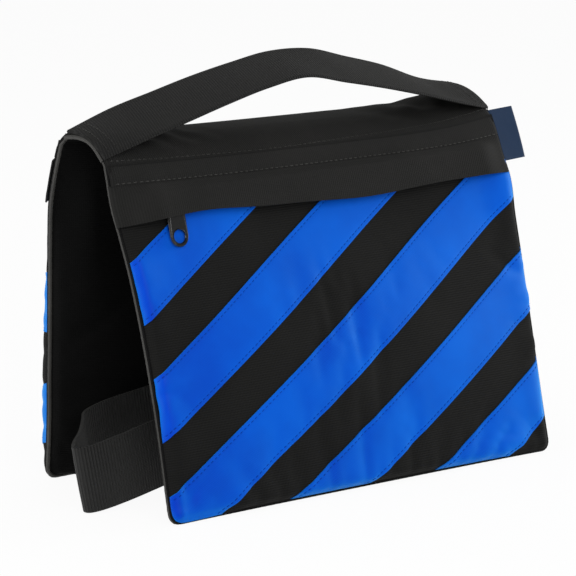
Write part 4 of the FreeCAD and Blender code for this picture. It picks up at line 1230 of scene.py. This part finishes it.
def makeZip(side):
    lowStart = zipShape["line"] + zipShape["coilOffset"]
    highStart = zipShape["line"] - zipShape["coilOffset"] - zipShape["tapeWidth"]
    for name, start in (("upper", highStart), ("lower", lowStart)):
        across = np.linspace(-zipShape["tapeReach"], zipShape["tapeReach"], zipShape["columns"])[None, :]
        down = np.linspace(start, start + zipShape["tapeWidth"], zipShape["rows"])[:, None]
        wave = zipShape["wave"] * np.sin(across * zipShape["waveRate"] + down)
        top = pouchPlace(side, across, bag["halfSeam"] + wave, down)
        bottom = pouchPlace(side, across, bag["halfSeam"] - zipShape["tapeWall"] + wave, down)
        tape = shellPart(top, bottom, gridOf(across, down))
        piece = addPiece(side + name.capitalize() + "ZipTape", tape, tapeCloth)
        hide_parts(side + "_zip_tape_" + name)
        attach(piece, side + "_pouch")
    # Coil turns of both rows, each turn a short bead that reaches from its tape towards the middle
    parts = []
    pitch, reach = zipShape["toothPitch"], zipShape["reach"] - 1
    for way, start in ((1.0, 0.0), (-1.0, 0.5)):
        across = np.arange(-reach + start * pitch, reach, pitch)
        down = zipShape["line"] + way * zipShape["coilMiddle"]
        spot = flatPlace(side, across, bag["halfSeam"] - zipShape["sunk"] + 0 * across, down)
        along = np.broadcast_to(downWay(side), spot.shape)
        up = np.broadcast_to(outwardWay(side), spot.shape)
        parts.append(repeatPart(threadShape(*zipShape["bead"]), spot, along, np.cross(up, along), up))
    coils = addPiece(side + "ZipCoils", parts, nylonCoil, sharp=80)
    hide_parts(side + "_zip_coils")
    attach(coils, side + "_pouch")
    for name in ("_zip_stops", "_zip_slider"):
        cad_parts[side + name].data.materials.clear()
        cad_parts[side + name].data.materials.append(blackEnamel)


# Pull: a flat strip with two raised rails that run round its holed end. Its
# neck widens over a first share of its length; the rails start at the given
# places across and down; the knuckle is as long as the given reach both ways
pullShape = {"top": 25.0, "end": 45.5, "halfWidth": 5.5, "neck": 2.6, "widening": 0.3, "hole": 3.9,
             "wall": 1.2, "plateInset": 0.1, "rimInset": 0.2, "overlap": 0.12, "rail": 0.42, "railRise": 0.15,
             "railAcross": (2.8, 2.8, 4.2), "railDown": (26.2, 28.2), "lip": 0.4, "lipGap": 0.25,
             "lipRise": 0.1, "knuckle": (1.2, 1.5, 1.5, 1.2), "knuckleReach": 2.5}


def makePull(side):
    lift = zipShape["bail"]
    centre = zipShape["station"]
    halfPull, hole = pullShape["halfWidth"], pullShape["hole"]
    # Strip between the rails down to the hole: inner edge follows the hole's upper half
    share = np.linspace(-1, 1, 25)[None, :]
    reach = np.linspace(0, 1, 12)[:, None]
    width = pullShape["neck"] + (halfPull - pullShape["neck"]) * ease(reach, 0.0, pullShape["widening"])
    across = centre + share * width
    lowEdge = pullShape["end"] - np.sqrt(np.clip(hole ** 2 - (share * width) ** 2, 0, None))
    down = pullShape["top"] + reach * (lowEdge - pullShape["top"])
    half = pullShape["wall"] / 2 - pullShape["plateInset"]
    coords = gridOf(across, down)
    plate = shellPart(flatPlace(side, across, lift + half, down),
                      flatPlace(side, across, lift - half, down), coords)
    # Round end: a flat ring from the hole to the rim over the lower half turn
    turn = np.linspace(-pullShape["overlap"], math.pi + pullShape["overlap"], 30)[:, None]
    radius = np.linspace(hole, halfPull - pullShape["rimInset"], 5)[None, :]
    ringAcross = centre + np.cos(turn) * radius
    ringDown = pullShape["end"] + np.sin(turn) * radius
    coords = np.stack([ringAcross, ringDown], -1)
    ring = shellPart(flatPlace(side, ringAcross, lift + half, ringDown),
                     flatPlace(side, ringAcross, lift - half, ringDown), coords)
    # Rail: down one edge, round the end and up the other
    rail = pullShape["rail"]
    bend = np.linspace(0, math.pi, 25)
    startAcross = np.array(pullShape["railAcross"])
    startDown = np.array((pullShape["top"], *pullShape["railDown"]))
    bendDown = pullShape["end"] + (halfPull - rail) * np.sin(bend)
    railAcross = np.concatenate([-startAcross, -(halfPull - rail) * np.cos(bend), startAcross[::-1]])
    railDown = np.concatenate([startDown, bendDown, startDown[::-1]])
    line = flatPlace(side, centre + railAcross, lift + 0 * railAcross, railDown)
    tangent = unit(np.gradient(line, axis=0))
    up = np.broadcast_to(outwardWay(side), line.shape)
    railSize = (rail, pullShape["wall"] / 2 + pullShape["railRise"])
    rails = tubePart(line, unit(np.cross(tangent, up)), up, railSize, sides=12)
    # Raised lip round the hole
    turn = np.linspace(0, 2 * math.pi, 25)[:-1]
    radius = hole + pullShape["lipGap"]
    lipDown = pullShape["end"] + radius * np.sin(turn)
    lip = flatPlace(side, centre + radius * np.cos(turn), lift + 0 * turn, lipDown)
    outward = unit(lip - lip.mean(0))
    lipUp = np.broadcast_to(outwardWay(side), lip.shape)
    lipSize = (pullShape["lip"], pullShape["wall"] / 2 + pullShape["lipRise"])
    lips = tubePart(lip, outward, lipUp, lipSize, sides=8, closed=True)
    # Knuckle that turns on the slider's bar
    place = np.linspace(-pullShape["knuckleReach"], pullShape["knuckleReach"], 9)
    bar = flatPlace(side, centre + place, lift + np.zeros(9), zipShape["line"] + np.zeros(9))
    barWay = np.broadcast_to(downWay(side), bar.shape)
    radius = np.interp(np.arange(9), (0, 1, 7, 8), pullShape["knuckle"])
    barUp = np.broadcast_to(outwardWay(side), bar.shape)
    knuckle = tubePart(bar, barWay, barUp, gridOf(radius, radius), sides=16)
    piece = addPiece(side + "ZipPull", [plate, ring, rails, lips, knuckle], blackEnamel)
    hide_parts(side + "_zip_pull")
    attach(piece, side + "_pull")


for side in ("front", "rear"):
    makeZip(side)
    makePull(side)
print("zips made")


# Handle: one length of webbing sewn down at both ends of the saddle and arched between them

# Both edges are given at eleven evenly spaced places from end to end, each
# as its y and z. The two lengths meet at the join and their edges are raised into a selvage;
# two distances from the middle are listed for a bend
handle = {"halfWidth": 19.0, "wall": 2.0, "hollow": 0.25, "camber": 0.6, "endCamber": 2.8,
          "camberFrom": 100.0, "endGap": 0.2, "join": 6.0, "selvage": 0.18, "selvageIn": 1.2,
          "selvageWidth": 0.8, "bend": (106.5, 75.0), "stitchRows": (4.0, 9.0), "stitchReach": 16.5,
          "stitchPitch": 2.9, "rows": 90, "columns": 25,
          "front": ((-18.8, 189.0), (-21.5, 197.5), (-22.0, 204.6), (-22.0, 211.6), (-22.0, 217.7),
                    (-22.0, 221.0), (-22.0, 215.5), (-22.0, 209.7), (-22.0, 203.1), (-21.0, 195.9),
                    (-16.5, 189.2)),
          "rear": ((16.5, 199.0), (15.2, 208.3), (14.8, 214.8), (14.8, 221.0), (14.8, 226.0),
                   (14.8, 229.9), (13.5, 229.2), (14.8, 222.2), (14.8, 214.8), (15.2, 204.8),
                   (19.5, 198.8))}


# Between the edges the webbing bulges up: camber times (1 - the square of the share across its width)
def handlePlace(across, width, lift):
    across, width, lift = np.broadcast_arrays(across, width, lift)
    edges = np.stack([np.array(handle["front"]), np.array(handle["rear"])], 1)
    row = (across / (2 * halfWidth) + 0.5) * (len(edges) - 1)
    share = width / handle["halfWidth"]
    middle = sampleGrid(edges, row, 0.5 + share / 2)
    chord = unit(sampleGrid(edges, row, 1.0 + 0 * share) - sampleGrid(edges, row, 0 * share))
    camber = handle["camber"] + handle["endCamber"] * ease(np.abs(across), handle["camberFrom"], halfWidth)
    normal = np.stack([-chord[..., 1], chord[..., 0]], -1)
    place = middle + normal * (camber * (1 - share ** 2) + lift)[..., None]
    return np.concatenate([across[..., None], place], -1)


def makeHandle():
    for end, sign in (("left", -1), ("right", 1)):
        across = np.linspace(sign * (halfWidth - handle["endGap"]), handle["join"], handle["rows"])[:, None]
        width = np.linspace(-handle["halfWidth"], handle["halfWidth"], handle["columns"])[None, :]
        half = handle["wall"] / 2 - handle["hollow"]
        fromEdge = (np.abs(width) - handle["halfWidth"] + handle["selvageIn"]) / handle["selvageWidth"]
        selvage = handle["selvage"] * np.exp(-fromEdge ** 2)
        top = handlePlace(across, width, half + selvage)
        bottom = handlePlace(across, width, -half)
        coords = gridOf(across, width)
        piece = addPiece(end + "HandleWebbing", shellPart(top, bottom, coords), twillWebbing)
        nodes = ["handle_" + end + "_tab", "handle_" + end + "_leg"]
        nodes += ["handle_grip"] if end == "left" else []
        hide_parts(*nodes)
        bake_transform(piece)
        # Two rows of stitches across the sewn end
        width = np.arange(-handle["stitchReach"], handle["stitchReach"] + 0.5, handle["stitchPitch"])
        parts = []
        for inset in handle["stitchRows"]:
            place = sign * (halfWidth - inset)
            spot = handlePlace(place, width, half + 0.1)
            ahead = unit(np.gradient(spot, axis=0))
            up = unit(spot - handlePlace(place, width, half - 1.0))
            parts.append(repeatPart(threadShape(*stitchSize), spot, ahead, np.cross(up, ahead), up))
        stitches = addPiece(end + "TabStitches", parts, blackThread, sharp=80)
        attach(stitches, "saddle")


makeHandle()


# Label: a folded length of ribbon caught in the side seam, left bare

label = {"root": 133.2, "topEnd": 150.3, "lowEnd": 149.1, "top": -0.7, "drop": 30.4, "tilt": 0.8, "wall": 0.8,
         "leanIn": -5.2, "leanOut": 0.5, "curl": 0.5, "curlTurn": 3, "out": 18, "rows": 24, "columns": 20}


# It keeps a straight plane of its own, from the drawn-in top of the seam out to the pouch, with a slight curl
def makeLabel():
    out = np.linspace(0, 1, label["columns"])[None, :]
    down = np.linspace(0, 1, label["rows"])[:, None]
    end = label["topEnd"] + (label["lowEnd"] - label["topEnd"]) * down
    across = label["root"] + out * (end - label["root"])
    curl = label["curl"] * out ** 2 * np.sin(label["curlTurn"] * down)
    outward = label["leanIn"] + (label["leanOut"] - label["leanIn"]) * down + curl
    drops = label["top"] + down * label["drop"] - label["tilt"] * out
    sine, cosine = math.sin(lean["front"]), math.cos(lean["front"])
    way = outwardWay("front") * label["wall"] / 2
    middle = np.stack([across, -(halfSpan + outward * cosine + drops * sine),
                       foldHeight["front"] + outward * sine - drops * cosine], -1)
    coords = gridOf(out * label["out"], down * label["drop"])
    piece = addPiece("sideLabel", shellPart(middle + way, middle - way, coords, roll=0.5), labelRibbon)
    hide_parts("side_label")
    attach(piece, "front_pouch")


makeLabel()
print("handle and label made")


# Leg strap: a closed loop of ribbed webbing between the pouches

strap = {"width": 38.0, "wall": 1.6, "tilt": 9.0, "reach": 21.0, "floorGap": 0.5, "bow": 0.3,
         "selvage": 0.12, "selvageIn": 1.0, "selvageWidth": 0.8, "lean": 3.0, "leanWay": (-0.8, -0.6),
         "corner": (-154.0, -28.0), "cornerReach": 24.0, "columns": 320, "rows": 17}
# Plan of the webbing's lower edge, counter-clockwise from its root on the rear pouch, in millimetres: the far
# run is straight as far as the crease, and the near run turns sharply at the left end
strapPlan = ((-30.2, 11.3), (-35.3, 12.4), (-68.5, 17.2), (-98.0, 20.0), (-113.0, 18.0), (-121.5, 13.5),
             (-127.5, 5.5), (-139.5, -9.5), (-149.5, -19.5), (-154.5, -27.0), (-151.5, -32.3),
             (-139.0, -34.4), (-115.0, -33.2), (-84.0, -28.0), (-57.0, -9.5), (-35.3, 8.9))


# Plan line: a smooth closed curve through the plan's points, stepped evenly along its length
def strapLine(count):
    points = np.array(strapPlan)
    wide = np.concatenate([points[-1:], points, points[:2]])
    line = curveAt(wide, np.linspace(1, len(points) + 1, 20 * count, endpoint=False))
    line = np.concatenate([line, line[:1]])
    length = lengthAlong(line)
    at = np.linspace(0, length[-1], count, endpoint=False)
    return gridOf(np.interp(at, length, line[:, 0]), np.interp(at, length, line[:, 1])), length[-1], at


def makeLegStrap():
    count = strap["columns"]
    line, total, at = strapLine(count)
    tangent = unit(np.roll(line, -1, axis=0) - np.roll(line, 1, axis=0))
    inward = np.stack([-tangent[:, 1], tangent[:, 0]], -1)
    height = np.linspace(0, 1, strap["rows"])
    fromEdge = (np.minimum(height, 1 - height) * strap["width"] - strap["selvageIn"]) / strap["selvageWidth"]
    selvage = (np.exp(-fromEdge ** 2) * strap["selvage"])[None, :, None]
    tilt = math.radians(strap["tilt"])
    left = -halfWidth - strap["reach"]

    def turned(points, level):
        run = points[..., 0] - left
        x = left + run * math.cos(tilt) - level * math.sin(tilt)
        z = strap["floorGap"] + run * math.sin(tilt) + level * math.cos(tilt)
        return gridOf(x, points[..., 1], z)

    level = height[None, :] * strap["width"]
    bow = strap["bow"] * np.sin(math.pi * height)[None, :, None]
    # The upper edge leans out over the lower one at the near left corner
    corner = np.exp(-np.sum((line - np.array(strap["corner"])) ** 2, -1) / strap["cornerReach"] ** 2)
    leaning = (height[None, :] * corner[:, None] * strap["lean"])[..., None] * np.array(strap["leanWay"])
    outside = turned(line[:, None] + leaning - inward[:, None] * (bow + selvage), level)
    inside = turned(line[:, None] + leaning + inward[:, None] * (strap["wall"] - bow), level)
    ring = np.concatenate([outside, inside[:, ::-1]], 1)
    rows = ring.shape[1]
    ring = np.concatenate([ring, ring[:1]])
    lengths = np.concatenate([at, [total]])
    aroundHeight = np.concatenate([height, height[::-1], height[:1]]) * strap["width"]
    coords = gridOf(lengths[:, None], aroundHeight[None, :])
    cells = gridCells(count + 1, rows, wrap=True)
    cells = np.where(cells >= count * rows, cells - count * rows, cells)
    part = {"points": ring[:-1].reshape(-1, 3), "quads": cells, "quadCoords": cellCoords(coords)}
    piece = addPiece("legStrapWebbing", part, ribbedWebbing)
    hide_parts("leg_strap")
    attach(piece, "strap_loop")


strapPatch = {"lift": 2.2, "wall": 1.7, "rows": 25, "columns": 21}


def makeStrapPatch(sheets):
    low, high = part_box("leg_strap_patch")
    centreAcross = -(low[0] + high[0]) / 2 / millimetre
    half = (high[0] - low[0]) / 2 / millimetre
    across = np.linspace(centreAcross - half, centreAcross + half, strapPatch["columns"])[None, :]
    share = np.linspace(0, 1, strapPatch["rows"])[:, None]
    height = (high[2] + (low[2] - high[2]) * share) / millimetre
    down = (foldHeight["rear"] - height) / math.cos(lean["rear"])
    top, way = onSheet(sheets[1], across, down, strapPatch["lift"], -outwardWay("rear"))
    coords = gridOf(across, share * strap["width"])
    piece = addPiece("legStrapPatch", shellPart(top, top - way * strapPatch["wall"], coords), ribbedWebbing)
    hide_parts("leg_strap_patch")
    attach(piece, "rear_pouch")


makeLegStrap()
makeStrapPatch(sheets)
print("leg strap made")
